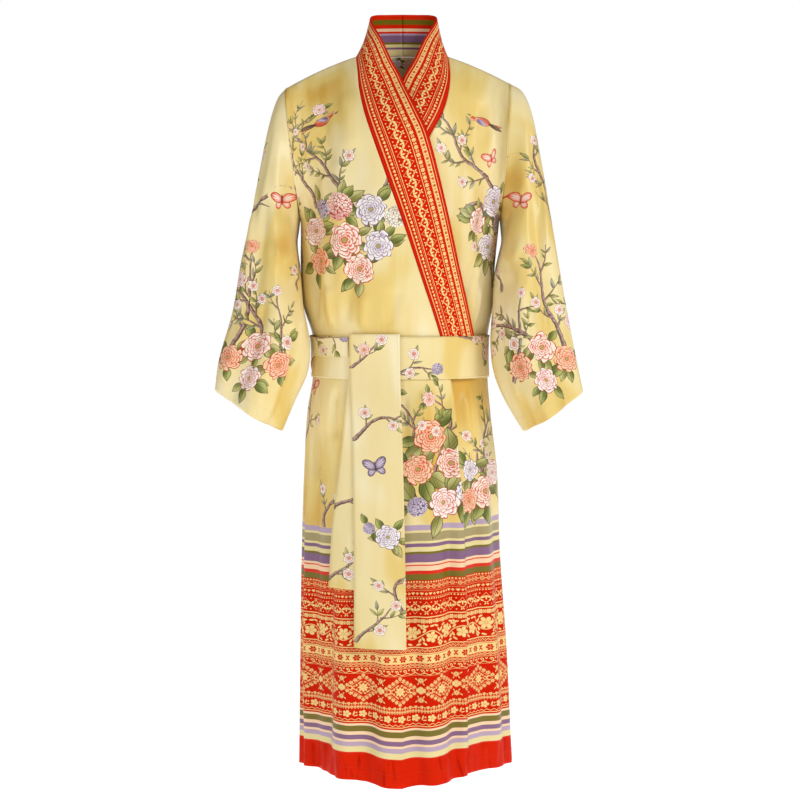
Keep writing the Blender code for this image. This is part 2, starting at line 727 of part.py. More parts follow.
def build_tail(name, table, lip=()):
    """A hanging end of the sash. With a lip it folds over the sash's top edge."""
    inner, outer = [], []
    for air, rise in lip:
        first = table[0]
        places = [mix(first.left, first.right, i / TAIL_COLUMNS) for i in range(TAIL_COLUMNS + 1)]
        height = SASH_TOP + rise
        inner.append([chest_point(x, height, air, False) for x in places])
        lean = unit((0, TAIL_LIP_CENTRE - air, TAIL_LIP_LEAN))
        outer.append([point + CLOTH * lean for point in inner[-1]])
    for row in table:
        places = [mix(row.left, row.right, i / TAIL_COLUMNS) for i in range(TAIL_COLUMNS + 1)]
        air = row.air + ridge_height(row.z)
        inner.append([chest_point(x, row.z, air, False) for x in places])
        outer.append([chest_point(x, row.z, air + CLOTH, False) for x in places])
    make_object(name, "silk", np.array(outer), np.array(inner))


for old in list(bpy.data.objects):
    bpy.data.objects.remove(old, do_unlink=True)

materials = {name: make_material(name, paint) for name, paint in PAINTS.items()}
shoulders = bpy.data.objects.new("shoulders", None)
bpy.context.scene.collection.objects.link(shoulders)

neck_line, neck_walls = build_back()
over_edge, over_walls = build_front("front_right", RIGHT, "over", OVER_COLUMNS)
under_edge, under_walls = build_front("front_left", LEFT, "under", UNDER_COLUMNS)

centre_column = SHOULDER_COLUMNS + NECK_COLUMNS
right_neck = slice(centre_column, SHOULDER_COLUMNS - 1, -1)
left_neck = slice(centre_column, centre_column + NECK_COLUMNS + 1)
build_collar("collar_right", RIGHT, neck_line[right_neck], neck_walls[right_neck], over_edge, over_walls)
build_collar("collar_left", LEFT, neck_line[left_neck], neck_walls[left_neck], under_edge, under_walls)

build_sleeve("sleeve_right", RIGHT)
build_sleeve("sleeve_left", LEFT)
build_sash()
build_tail("belt_tail_short", SHORT_TAIL)
build_tail("belt_tail_long", LONG_TAIL, TAIL_LIP)
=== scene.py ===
# %% [markdown]
# A kimono robe of printed cotton satin, worn by nobody.
# The robe is filled out as if someone wore it: a band collar crosses in front, straight sleeves
# hang a little forward, and a sash is tied at the wearer's right with two ends hanging down.
# The lesson builds every panel as a thin grid of cloth, lays folds into it, and prints it with
# materials that are worked out from where each point lay when the cloth was still flat.

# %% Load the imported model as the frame
import math
from collections import namedtuple
from functools import partial, partialmethod

import bpy
import numpy as np
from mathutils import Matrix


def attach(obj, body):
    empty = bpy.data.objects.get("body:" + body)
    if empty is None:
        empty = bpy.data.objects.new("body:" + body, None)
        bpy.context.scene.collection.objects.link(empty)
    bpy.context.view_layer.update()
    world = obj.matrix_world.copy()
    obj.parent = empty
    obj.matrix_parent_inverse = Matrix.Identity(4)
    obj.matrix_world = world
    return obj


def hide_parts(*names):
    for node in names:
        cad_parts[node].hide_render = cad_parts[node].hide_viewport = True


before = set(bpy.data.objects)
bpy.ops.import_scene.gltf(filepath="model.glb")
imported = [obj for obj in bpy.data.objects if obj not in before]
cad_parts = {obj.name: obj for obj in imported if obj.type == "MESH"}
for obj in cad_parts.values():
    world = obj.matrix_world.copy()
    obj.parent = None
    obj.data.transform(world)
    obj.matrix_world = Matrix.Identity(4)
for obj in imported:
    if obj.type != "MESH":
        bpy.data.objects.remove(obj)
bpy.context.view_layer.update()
print("solids in the frame:", ", ".join(sorted(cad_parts)))

# %% [markdown]
# The camera comes first, because everything is judged through it. It stands 2.8 m in front of
# the robe, just above the sash, and looks down by a few degrees, with a long lens that keeps the
# proportions calm, as a catalogue photographer would set it.

# %% Camera
CAMERA_PLACE = (-0.0034, -2.8, -0.3965)
CAMERA_TILT = 3.87
CAMERA_LENS = 73.1
FILM_WIDTH = 36.0


def put_in_scene(name, data):
    made = bpy.data.objects.new(name, data)
    bpy.context.scene.collection.objects.link(made)
    return made


lens = bpy.data.cameras.new("studio_camera")
lens.lens = CAMERA_LENS
lens.sensor_width = FILM_WIDTH
camera = put_in_scene("studio_camera", lens)
camera.location = CAMERA_PLACE
camera.rotation_euler = (math.radians(90 - CAMERA_TILT), 0, 0)
bpy.context.scene.camera = camera
print("camera with a lens of", CAMERA_LENS, "mm")

# %% [markdown]
# Small tools for reading tables. A garment is measured at a few levels and the cloth runs
# smoothly between them, so each table is read with a smooth curve. All of them work on whole
# arrays of points at once, which keeps a fine grid quick.

# %% Reading tables
def mix(a, b, share):
    return a + (b - a) * share


def smooth_step(share):
    share = np.clip(share, 0.0, 1.0)
    return share * share * (3 - 2 * share)


def between(value, start, end):
    """Rises smoothly from 0 at start to 1 at end, whichever of them is larger."""
    return smooth_step((value - start) / (end - start))


def unit(vectors):
    lengths = np.linalg.norm(vectors, axis=-1, keepdims=True)
    return vectors / np.maximum(lengths, 1e-12)


def joined(*coordinates):
    """Points from their coordinates."""
    return np.stack(np.broadcast_arrays(*coordinates), axis=-1)


def metres(*millimetres):
    return np.array(millimetres) / 1000


def read_table(fields, rows):
    """Gives the columns of a table their names."""
    kind = namedtuple("TableRow", fields)
    return [kind(*row) for row in rows]


def along(table, key, column, at):
    """A column of a table, read between its rows with a smooth curve."""
    keys = np.array([getattr(row, key) for row in table], float)
    values = np.array([getattr(row, column) for row in table], float)
    if keys[0] > keys[-1]:
        keys, values = keys[::-1], values[::-1]
    at = np.clip(at, keys[0], keys[-1])
    slopes = np.gradient(values, keys)
    i = np.clip(np.searchsorted(keys, at) - 1, 0, len(keys) - 2)
    span = keys[i + 1] - keys[i]
    t = (at - keys[i]) / span
    return (
        (2 * t**3 - 3 * t**2 + 1) * values[i]
        + (t**3 - 2 * t**2 + t) * span * slopes[i]
        + (3 * t**2 - 2 * t**3) * values[i + 1]
        + (t**3 - t**2) * span * slopes[i + 1]
    )


def smooth_curve(knots, steps):
    """A Catmull-Rom curve through the knots."""
    before, after = 2 * knots[0] - knots[1], 2 * knots[-1] - knots[-2]
    ends = np.concatenate((before[None], knots, after[None]))
    found = []
    for i in range(1, len(ends) - 2):
        a, b, c, d = ends[i - 1 : i + 3]
        for t in np.arange(steps) / steps:
            found.append(
                0.5 * (2 * b + (c - a) * t + (2 * a - 5 * b + 4 * c - d) * t**2
                       + (3 * b - a - 3 * c + d) * t**3)
            )
    found.append(ends[-2])
    return np.array(found)


def lengths_along(points):
    steps = np.linalg.norm(np.diff(points, axis=0), axis=-1)
    return np.concatenate(([0.0], np.cumsum(steps)))


def resample(points, run, at):
    """The points of a line at other places along its run."""
    return np.stack([np.interp(at, run, column) for column in points.T], axis=1)


print("table tools ready")

# %% [markdown]
# The body of the robe is one hollow form, measured level by level: how wide it is to the
# wearer's right and left, how deep to the front and back, and how sharp it turns at the side
# seams. The sizes are those of the solids, so that each sheet lies on the piece that it stands
# for. The rows of the grid go round the armhole first and then down to the hem.

# %% Sizes of the body
RIGHT, LEFT = -1, 1
FRONT, BACK = -1, 1

CLOTH = 0.0018
SEAM_GAP = 0.0003
HALF_GAP = SEAM_GAP / 2
NECK_HALF = 0.0785
NECK_BACK = 0.075
NECK_RISE = 0.01
NECK_FADE = 0.025
SHOULDER_SLOPE = 0.33
SHOULDER_CURVE = 1.0
SHOULDER_SETTLE = 0.16
SHOULDER_ROUND = 0.17
SHOULDER_POWER = 2.6
ARM_HALF_DEPTH = 0.062
UNDERARM_Z = -0.275
HEM_RISE = 0.009
HEM_RISES_BELOW = -0.85
SECTION_POWER = 2.2
ARMHOLE_POWER = 6
LAYER = 0.0065
COVER_MARGIN = 0.006
ARM_ROWS = 12
COLLAR_END_ROW = 18
LEVELS = np.array((
    UNDERARM_Z, -0.31, -0.35, -0.395, -0.435, -0.475, -0.51, -0.545, -0.585,
    -0.635, -0.695, -0.765, -0.845, -0.93, -1.02, -1.12, -1.2225,
))
LAST_ROW = ARM_ROWS + len(LEVELS) - 1
HEM_Z = LEVELS[-1]

SECTIONS = read_table("z right left front back corner", (
    (-0.056, 0.197, 0.183, 0.1, 0.1, 0.5), (-0.2, 0.1825, 0.173, 0.112, 0.108, 0.5),
    (-0.275, 0.174, 0.167, 0.115, 0.106, 0.5), (-0.36, 0.1735, 0.159, 0.114, 0.102, 0.48),
    (-0.425, 0.169, 0.1555, 0.11, 0.098, 0.46), (-0.475, 0.1535, 0.1475, 0.105, 0.094, 0.46),
    (-0.545, 0.1535, 0.1475, 0.106, 0.096, 0.46), (-0.6, 0.1625, 0.152, 0.117, 0.104, 0.47),
    (-0.7, 0.169, 0.164, 0.13, 0.115, 0.52), (-0.85, 0.1745, 0.1705, 0.142, 0.128, 0.62),
    (-1.02, 0.1775, 0.183, 0.15, 0.139, 0.74), (-1.2225, 0.1805, 0.193, 0.155, 0.147, 0.92),
))


def half_width(z, side):
    left, right = (along(SECTIONS, "z", column, z) for column in ("left", "right"))
    return np.where(side > 0, left, right)


def shoulder_z(x):
    out = np.maximum(np.abs(x) - NECK_HALF, 0.0)
    return -(SHOULDER_SLOPE * out + SHOULDER_CURVE * out**2)


TIP_Z = {side: float(shoulder_z(half_width(0.0, side))) for side in (RIGHT, LEFT)}


def side_z(row, side):
    """The height of a row at the side: round the armhole first, then level rows."""
    middle = (TIP_Z[side] + UNDERARM_Z) / 2
    turned = math.pi * np.clip(row, 0, ARM_ROWS) / ARM_ROWS
    armhole = middle + (TIP_Z[side] - middle) * np.cos(turned)
    lower = np.interp(row - ARM_ROWS, np.arange(len(LEVELS)), LEVELS)
    return np.where(row <= ARM_ROWS, armhole, lower)


def side_height(u, row):
    return mix(side_z(row, RIGHT), side_z(row, LEFT), (u + 1) / 2)


def body_x(u, row):
    return u * half_width(side_height(u, row), u)


def body_z(u, row):
    tip = mix(TIP_Z[RIGHT], TIP_Z[LEFT], (u + 1) / 2)
    at_side = side_height(u, row)
    lift = np.maximum(shoulder_z(body_x(u, row)) - tip, 0.0)
    low = between(at_side, HEM_RISES_BELOW, HEM_Z)
    rise = HEM_RISE * low * 4 * np.abs(u) * (1 - np.abs(u))
    return at_side + rise + lift * (1 - smooth_step((tip - at_side) / SHOULDER_SETTLE))


print("shoulder tips at", TIP_Z)

# %% [markdown]
# The largest folds of a worn robe run down the skirt, where the cloth is wider than the hips
# need, and over the chest. Each is a row in a table: where round the body it lies, where it
# starts and where it is full, how wide it spreads in degrees and how far it stands out in
# millimetres.

# %% Large folds
Fold = namedtuple("Fold", "angle start full spread depth end", defaults=(None,))
CHEST_FOLD_END = -0.46
FOLDS = [Fold(*row) for row in (
    (-52, -0.62, -1.22, 9, -8), (-34, -0.6, -1.2, 8, 13), (-21, -0.66, -1.2, 7, -7),
    (-9, -0.7, -1.22, 8, 12), (5, -0.7, -1.22, 7, -6), (19, -0.62, -1.2, 8, 10),
    (40, -0.6, -1.2, 10, -7), (128, -0.6, -1.2, 10, 9), (150, -0.66, -1.2, 9, -7),
    (171, -0.58, -1.22, 9, 11), (-168, -0.62, -1.2, 8, -8), (-148, -0.6, -1.2, 9, 10),
    (-124, -0.64, -1.2, 9, -7),
)]
# Shorter ones start right under the sash.
FOLDS += [Fold(angle, -0.57, -0.7, 5, depth) for angle, depth in (
    (-76, -5), (-67, 4), (-60, -6), (15, 5), (27, -7), (35, 6), (52, -7), (61, 4), (74, -4), (104, 6),
    (114, -5), (139, -7), (161, 6), (180, -6), (-158, 7), (-137, -7), (-112, 6),
)]
# The folds of the chest fade out again above the sash.
FOLDS += [Fold(*row, CHEST_FOLD_END) for row in (
    (-58, -0.1, -0.3, 6, -7), (-47, -0.08, -0.28, 5, 5), (-36, -0.1, -0.24, 7, 7),
    (-24, -0.12, -0.26, 7, -3), (47, -0.08, -0.28, 6, 6), (60, -0.1, -0.3, 6, -7),
    (126, -0.1, -0.3, 7, -7), (150, -0.12, -0.3, 9, 8), (-128, -0.1, -0.3, 7, -7),
    (-152, -0.12, -0.3, 9, 8), (178, -0.16, -0.32, 8, -7),
)]


def fold_height(folds, angle, at):
    """How far cloth stands out in the folds that run along a round form."""
    height = np.zeros(np.broadcast(angle, at).shape)
    for fold in folds:
        away = (angle - fold.angle + 180) % 360 - 180
        rise = between(at, fold.start, fold.full)
        if fold.end is not None:
            rise = rise * between(at, fold.end, fold.full)
        height = height + fold.depth / 1000 * rise * np.exp(-((away / fold.spread) ** 2))
    return height


print(len(FOLDS), "large folds")

# %% [markdown]
# Between the large folds lie the creases that tell the eye it is cloth: pulls that fan out
# above and below the sash, soft diagonals from the armholes, and long quiet ones in the skirt.
# Each crease is a line on the body, given by its angle and height at both ends, with a width
# and a depth. No two are alike, as on the real robe, and the back has its own.

# %% Creases of the body
# Angle and height at both ends, width and depth, in degrees and millimetres.
CREASES = [
    (-62, -450, -50, -330, 10, -3.2), (-48, -462, -44, -385, 8, 3), (-36, -460, -27, -350, 10, -2.6),
    (-24, -462, -22, -400, 7, 2), (-8, -462, -3, -390, 9, -1.8), (38, -460, 50, -340, 10, -3),
    (56, -458, 60, -385, 9, 3), (-70, -240, -40, -330, 14, -3.6), (-74, -285, -48, -395, 12, 3),
    (-66, -190, -46, -215, 12, -2.6), (70, -235, 44, -320, 14, -3.4), (72, -290, 52, -390, 12, 3),
    (-47, -80, -38, -200, 14, -3), (-30, -60, -26, -170, 12, 2.4), (-60, -110, -54, -230, 12, 2.8),
    (48, -75, 41, -200, 14, -3), (60, -120, 55, -230, 12, 2.6), (-66, -565, -60, -720, 10, -4),
    (-45, -560, -43, -650, 9, -3.4), (-28, -562, -29, -660, 8, -2.6), (-14, -560, -15, -640, 8, 3),
    (2, -562, 3, -690, 9, -3.4), (14, -560, 13, -630, 8, 2.8), (29, -560, 31, -720, 10, -4.2),
    (46, -562, 50, -680, 10, 3.6), (66, -562, 68, -780, 12, -4), (-72, -700, -66, -1180, 13, 2.5),
    (-44, -760, -45, -1222, 11, -4.5), (-27, -860, -28, -1222, 10, 3), (-15, -820, -16, -1200, 9, -3.5),
    (12, -840, 12, -1222, 9, 3.2), (30, -760, 30, -1222, 11, -4.2), (56, -720, 58, -1222, 13, 2.8),
    (74, -840, 74, -1222, 11, -2), (-100, -230, -128, -350, 15, -3.6), (-104, -290, -130, -400, 12, 3),
    (-118, -100, -132, -230, 14, -3), (102, -230, 130, -345, 15, -3.6), (106, -295, 128, -405, 12, 3),
    (120, -105, 134, -225, 14, -3), (-126, -462, -134, -360, 10, -3.2),
    (-146, -462, -150, -385, 9, 3.2), (-164, -462, -166, -370, 9, -2.6), (176, -462, 172, -392, 9, 2.8),
    (158, -462, 160, -365, 10, -3.2), (138, -462, 142, -390, 9, 3), (120, -460, 118, -370, 10, -3),
    (-112, -565, -110, -760, 12, -4), (-134, -562, -136, -680, 10, 3.6),
    (-156, -562, -158, -720, 10, -4), (-178, -562, -179, -660, 9, 3.2),
    (160, -562, 161, -740, 10, -3.8), (140, -562, 139, -690, 10, 3.6), (114, -565, 112, -770, 12, -4),
    (-106, -760, -108, -1222, 13, 4.5), (-136, -760, -135, -1222, 12, -4.2),
    (-158, -860, -158, -1222, 11, 3.6), (160, -840, 161, -1222, 11, -3.8),
    (139, -760, 140, -1222, 12, 4.2), (108, -780, 107, -1222, 13, -4.2),
]
# Short puckers in the hem: angle, lean and depth.
HEM_PUCKERS = (
    (-62, 2, -1.6), (-50, -1, 1.5), (-39, 1, -1.9), (-24, 2, 1.3), (-12, -2, -1.6), (-2, 1, 1.4),
    (10, -1, -1.8), (22, 1, 1.4), (37, -1, -1.6), (51, 1, 1.8), (64, -2, -1.5), (98, 1, 1.4),
    (118, -1, -1.8), (131, 1, 1.5), (147, 1, -1.6), (166, -1, 1.4), (178, 1, -1.9), (-170, 1, 1.5),
    (-152, -1, -1.6), (-128, 1, 1.6), (-114, -1, -1.8), (-97, 1, 1.4),
)
CREASES += [(angle, -1168, angle + lean, -1224, 5.5, 1.4 * depth) for angle, lean, depth in HEM_PUCKERS]
BODY_RADIUS = 0.145
CREASE_RELIEF = 2.0
CREASE_ENDS = 0.22
SASH_CALM = (-0.556, -0.466)
SASH_CALM_FADE = 0.012
ENDS_PRESS = (-56, 10, -1.02)
PRESS_FADE = (6, 0.04)


def crease_height(creases, angle, up, radius, shift=0.0, stretch=0.001):
    """The sum of soft troughs and ridges along lines on a round form. up is in metres."""
    arc = np.radians(angle) * radius
    height = np.zeros(np.broadcast(arc, up).shape)
    for angle_a, up_a, angle_b, up_b, width, depth in creases:
        arc_a, arc_b = math.radians(angle_a + shift) * radius, math.radians(angle_b + shift) * radius
        from_a = up - up_a * stretch
        run = np.array((arc_b - arc_a, (up_b - up_a) * stretch))
        length = np.hypot(*run)
        t = ((arc - arc_a) * run[0] + from_a * run[1]) / length**2
        off = ((arc - arc_a) * run[1] - from_a * run[0]) / length
        shape = smooth_step(t / CREASE_ENDS) * smooth_step((1 - t) / CREASE_ENDS)
        swell = width / 1000 * (0.75 + 0.5 * np.clip(t, 0, 1))
        height = height + CREASE_RELIEF * depth / 1000 * shape * np.exp(-((off / swell) ** 2))
    return height


def body_creases(angle, z):
    """The creases of the body, calm under the sash and over its edges."""
    height = sum(crease_height(CREASES, angle + lap, z, BODY_RADIUS) for lap in (-360, 0, 360))
    # Behind the hanging ends of the sash nothing stands out.
    first, last, low = ENDS_PRESS
    beside, under = PRESS_FADE
    pressed = smooth_step((angle - first) / beside) * smooth_step((last - angle) / beside)
    pressed = pressed * smooth_step((z - low) / under)
    height = height - np.maximum(height, 0) * pressed * (z < SASH_CALM[0])
    below, above = SASH_CALM
    calm = smooth_step((z - below) / SASH_CALM_FADE + 1) * smooth_step((above - z) / SASH_CALM_FADE + 1)
    return height * (1 - calm)


print(len(CREASES), "creases on the body")

# %% [markdown]
# A point of the body's surface is found from two numbers: u across, from one side seam to the
# other, and a row down. The same function serves the back, both fronts, the sash and whatever
# lies on them, so neighbours always meet.

# %% The body's surface
HELD_BELOW_ARM = 0.08


def body_corner(row, z):
    corner = along(SECTIONS, "z", "corner", z)
    above = mix(corner, 1.0, smooth_step(2 - 2 * row / ARM_ROWS))
    return np.where(row <= ARM_ROWS / 2, 1.0, np.where(row >= ARM_ROWS, corner, above))


def body_point(u, row, face, out=0.0, folded=True, creased=False):
    u, row = np.broadcast_arrays(np.asarray(u, float), np.asarray(row, float))
    x, z = body_x(u, row), body_z(u, row)
    tip = mix(TIP_Z[RIGHT], TIP_Z[LEFT], (u + 1) / 2)
    drop = tip - side_height(u, row)
    lift = np.maximum(shoulder_z(x) - tip, 0.0)
    share = np.minimum((drop + lift * smooth_step(drop / SHOULDER_SETTLE)) / SHOULDER_ROUND, 1.0)
    fullness = 1 - (1 - share) ** SHOULDER_POWER
    armhole = np.where(row < ARM_ROWS, np.sin(math.pi * row / ARM_ROWS), 0.0)
    edge = ARM_HALF_DEPTH * armhole * np.abs(u) ** ARMHOLE_POWER
    depth = along(SECTIONS, "z", "front" if face == FRONT else "back", z)
    crown = np.maximum(1 - np.abs(u) ** SECTION_POWER, 0.0) ** body_corner(row, z)
    y = edge + (depth * fullness - edge) * crown
    if face == BACK:
        neck = np.maximum(1 - (x / NECK_HALF) ** 2, 0.0)
        hollow = np.where(neck > 0, neck ** (0.5 + drop / NECK_FADE), 0)
        y = y + NECK_BACK * hollow * (1 - fullness)
        z = z + NECK_RISE * neck * (1 - fullness)
    angle = np.degrees(np.arcsin(np.clip(u, -1.0, 1.0)))
    if face == BACK:
        angle = 180 - angle
    held = smooth_step((UNDERARM_Z - z) / HELD_BELOW_ARM)
    loose = held + (1 - held) * (1 - u**4)
    if folded:
        out = out + fold_height(FOLDS, angle, z) * loose
    if creased:
        out = out + body_creases((angle + 180) % 360 - 180, z) * (1 - np.abs(u) ** 12)
    half = np.maximum(half_width(z, u), 0.05)
    normal = unit(joined(x / half**2, face * np.maximum(y, 1e-4) / depth**2))
    return joined(x + normal[..., 0] * out, face * y + normal[..., 1] * out, z)


def spot(x, z):
    """The u and the row of the front surface at places seen from the front."""
    x, z = np.broadcast_arrays(np.asarray(x, float), np.asarray(z, float))
    low, high = np.zeros(x.shape), np.full(x.shape, float(LAST_ROW))
    for _ in range(34):
        row = (low + high) / 2
        u = x / 0.17
        for _ in range(3):
            u = np.clip(x / half_width(side_height(u, row), x), -1.0, 1.0)
        above = body_z(u, row) > z
        low, high = np.where(above, row, low), np.where(above, high, row)
    return u, (low + high) / 2


def chest_point(x, z, out=0.0, folded=True):
    u, row = spot(x, z)
    return body_point(u, row, FRONT, out, folded)


print("centre front at the hem:", body_point(0.0, LAST_ROW, FRONT).round(3))

# %% [markdown]
# Cloth is printed before it is cut, so the print has to know where each point of a panel lay
# on the flat cloth. Down the body this is the height above the hem, read from the row. Across
# it is the length round the body at hip height, read from u. Both are in metres.

# %% Flat places on the body
HIP_ROW = ARM_ROWS + 10
around_u = np.sin(np.linspace(-math.pi / 2, math.pi / 2, 181))


def arc_table(face):
    lengths = lengths_along(body_point(around_u, HIP_ROW, face, folded=False))
    return lengths - np.interp(0.0, around_u, lengths)


ARC = {face: arc_table(face) for face in (FRONT, BACK)}
centre_rows = np.linspace(0, LAST_ROW, 400)
centre_down = lengths_along(body_point(0.25, centre_rows, FRONT, folded=False))


def flat_across(u, face):
    return np.interp(u, around_u, ARC[face])


def flat_up(row):
    """Height above the hem on the flat cloth."""
    return centre_down[-1] - np.interp(row, centre_rows, centre_down)


def row_at(height):
    """The row that lies at a height above the hem."""
    return np.interp(centre_down[-1] - np.asarray(height), centre_down, centre_rows)


CLOTH_LENGTH = float(centre_down[-1])
print("flat length of the body %.3f m, half width of the front %.3f m" % (CLOTH_LENGTH, ARC[FRONT][-1]))

# %% [markdown]
# One helper turns a grid of points into a sheet of cloth. It keeps the flat place of each
# point in an attribute named cut, and once more, scaled to fill a square, as the UV map. A
# Solidify modifier then gives the sheet its thickness on the inner side.

# %% From a grid to a sheet
ROBE_BODY = "root"
SHEET_THICK = 0.0012
GRID_STEP = 0.0046
UV_MARGIN = 0.002


def filled(limits, step):
    """The limits, with places between them so that none is further than a step from the next."""
    found = [limits[0]]
    for a, b in zip(limits, limits[1:]):
        found.extend(np.linspace(a, b, math.ceil((b - a) / step - 1e-6) + 1)[1:])
    return np.array(found)


def set_vectors(mesh, name, domain, values):
    attribute = mesh.attributes.new(name, "FLOAT_VECTOR", domain)
    attribute.data.foreach_set("vector", np.asarray(values, np.float32).ravel())


def away_from_middle(points):
    return points * np.array((1.0, 1.0, 0.0))


def forward(points):
    return np.broadcast_to((0.0, -1.0, 0.0), points.shape)


def cloth_sheet(name, grid, flat, dress, replaces, origin=(0, 0), thick=SHEET_THICK,
                outward=away_from_middle, lined=False):
    """A sheet from a grid of points. origin is where its cut lies on the whole printed cloth."""
    rows, columns = grid.shape[:2]
    index = np.arange(rows * columns).reshape(rows, columns)
    quads = joined(index[:-1, :-1], index[:-1, 1:], index[1:, 1:], index[1:, :-1])
    quads = quads.reshape(-1, 4)
    points = grid.reshape(-1, 3)
    corner = points[quads]
    face_normal = np.cross(corner[:, 2] - corner[:, 0], corner[:, 3] - corner[:, 1])
    middle = corner.mean(axis=1)
    if np.sum(face_normal * outward(middle)) < 0:
        quads = quads[:, ::-1]
    mesh = bpy.data.meshes.new(name)
    mesh.vertices.add(len(points))
    mesh.vertices.foreach_set("co", points.astype(np.float32).ravel())
    mesh.loops.add(quads.size)
    mesh.loops.foreach_set("vertex_index", quads.ravel().astype(np.int32))
    mesh.polygons.add(len(quads))
    mesh.polygons.foreach_set("loop_start", np.arange(0, quads.size, 4, dtype=np.int32))
    mesh.polygons.foreach_set("loop_total", np.full(len(quads), 4, np.int32))
    mesh.update(calc_edges=True)
    places = flat.reshape(-1, 2)
    set_vectors(mesh, "cut", "POINT", np.column_stack((places + origin, np.zeros(len(places)))))
    low, high = places.min(axis=0), places.max(axis=0)
    if not lined:
        mesh.uv_layers.new(name="OFBake")
        spread = UV_MARGIN + (1 - 2 * UV_MARGIN) * (places[quads.ravel()] - low) / (high - low)
        mesh.uv_layers["OFBake"].data.foreach_set("uv", spread.astype(np.float32).ravel())
    mesh.shade_smooth()
    sheet = put_in_scene(name, mesh)
    dress(sheet, places, quads)
    wall = sheet.modifiers.new("thickness", "SOLIDIFY")
    wall.thickness = thick
    if lined:
        wall.material_offset = len(mesh.materials)
    wall.offset = -1
    wall.use_even_offset = False
    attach(sheet, ROBE_BODY)
    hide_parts(*replaces)
    print(f"{name}: {rows} by {columns} points, cut {high[0] - low[0]:.3f} by {high[1] - low[1]:.3f} m")
    return sheet


def flat_area(flat):
    """The area of the cut in square metres, summed over the cells of its grid."""
    a, b = flat[1:, 1:] - flat[:-1, :-1], flat[1:, :-1] - flat[:-1, 1:]
    return float(np.abs(a[..., 0] * b[..., 1] - a[..., 1] * b[..., 0]).sum() / 2)


def declare_sheet(flat):
    """Works out the size and the area of the cut before it was sewn, and does nothing more with them."""
    size = np.ptp(flat.reshape(-1, 2), axis=0)
    area = min(flat_area(flat), float(size[0] * size[1]))


print("grid step %.1f mm, cloth %.1f mm thick" % (GRID_STEP * 1000, SHEET_THICK * 1000))

# %% [markdown]
# Now the print. A printed cloth is one material whose colour changes from place to place, so
# each motif is a formula: it takes a place on the flat cloth and answers with a colour. Such
# formulas are Math nodes joined by wires. The small class below lets them be written as sums.

# %% Arithmetic with nodes
class Wire:
    """A value on its way through a material. Sums and products of wires make Math nodes."""

    def __init__(self, socket):
        self.socket = socket
        self.tree = socket.id_data

    def combine(self, operation, *others):
        return reckon(operation, self, *others)

    def __rsub__(self, other):
        return reckon("SUBTRACT", other, self)

    __add__ = __radd__ = partialmethod(combine, "ADD")
    __sub__ = partialmethod(combine, "SUBTRACT")
    __mul__ = __rmul__ = partialmethod(combine, "MULTIPLY")
    __truediv__ = partialmethod(combine, "DIVIDE")
    __pow__ = partialmethod(combine, "POWER")
    __abs__ = partialmethod(combine, "ABSOLUTE")


def plug(socket, value):
    if isinstance(value, Wire):
        value.tree.links.new(value.socket, socket)
    else:
        socket.default_value = value


def tree_of(*values):
    return next(value.tree for value in values if isinstance(value, Wire))


def reckon(operation, *values):
    made = tree_of(*values).nodes.new("ShaderNodeMath")
    made.operation = operation
    for socket, value in zip(made.inputs, values):
        plug(socket, value)
    return Wire(made.outputs[0])


sine = partial(reckon, "SINE")
cosine = partial(reckon, "COSINE")
fraction = partial(reckon, "FRACT")
largest = partial(reckon, "MAXIMUM")
smallest = partial(reckon, "MINIMUM")


def distance(x, y):
    return reckon("SQRT", x * x + y * y)


def turn(x, y):
    return reckon("ARCTAN2", y, x)


def step(value, start, end):
    """Rises softly from 0 at start to 1 at end. With start above end it falls instead."""
    made = value.tree.nodes.new("ShaderNodeMapRange")
    made.interpolation_type = "SMOOTHSTEP"
    plug(made.inputs["Value"], value)
    made.inputs["From Min"].default_value = start
    made.inputs["From Max"].default_value = end
    return Wire(made.outputs["Result"])


def within(value, limit, soft=0.03):
    """1 where the value is under the limit, with a thin soft edge."""
    return step(value - limit, soft, -soft)


def blend(below, over, share):
    made = tree_of(below, over, share).nodes.new("ShaderNodeMix")
    made.data_type = "RGBA"
    plug(made.inputs[0], share)
    plug(made.inputs[6], below)
    plug(made.inputs[7], over)
    return Wire(made.outputs[2])


def ramp(value, stops, smooth=True):
    """A colour looked up by a value, from a list of places and colours."""
    made = value.tree.nodes.new("ShaderNodeValToRGB")
    made.color_ramp.interpolation = "EASE" if smooth else "CONSTANT"
    elements = made.color_ramp.elements
    elements.remove(elements[1])
    for i, (place, colour) in enumerate(stops):
        element = elements[0] if i == 0 else elements.new(place)
        element.position = place
        element.color = colour
    plug(made.inputs[0], value)
    return Wire(made.outputs[0])


def noise(tree, place, scale, detail=1.0):
    made = tree.nodes.new("ShaderNodeTexNoise")
    made.inputs["Scale"].default_value = scale
    made.inputs["Detail"].default_value = detail
    plug(made.inputs["Vector"], place)
    return Wire(made.outputs["Fac"])


def drawn_out_noise(tree, place, scale, stretch, detail):
    """Noise drawn out along the length of the cloth."""
    mapped = tree.nodes.new("ShaderNodeMapping")
    mapped.inputs["Scale"].default_value = (1.0, stretch, 1.0)
    plug(mapped.inputs["Vector"], place)
    return noise(tree, Wire(mapped.outputs[0]), scale, detail)


def read_places(tree, name):
    """The three numbers of an attribute, and the attribute itself."""
    made = tree.nodes.new("ShaderNodeAttribute")
    made.attribute_name = name
    parts = tree.nodes.new("ShaderNodeSeparateXYZ")
    tree.links.new(made.outputs["Vector"], parts.inputs[0])
    return [Wire(output) for output in parts.outputs], Wire(made.outputs["Vector"])


def together(x, y, z=0.0):
    made = tree_of(x, y, z).nodes.new("ShaderNodeCombineXYZ")
    for socket, value in zip(made.inputs, (x, y, z)):
        plug(socket, value)
    return Wire(made.outputs[0])


print("arithmetic with nodes is ready")

# %% [markdown]
# Colours are chosen as they look on a screen, from 0 to 255, and turned into the linear
# numbers that a renderer works with. The families below give each kind of leaf or flower
# its deep, middle and pale tone and the colour of its drawn outline.

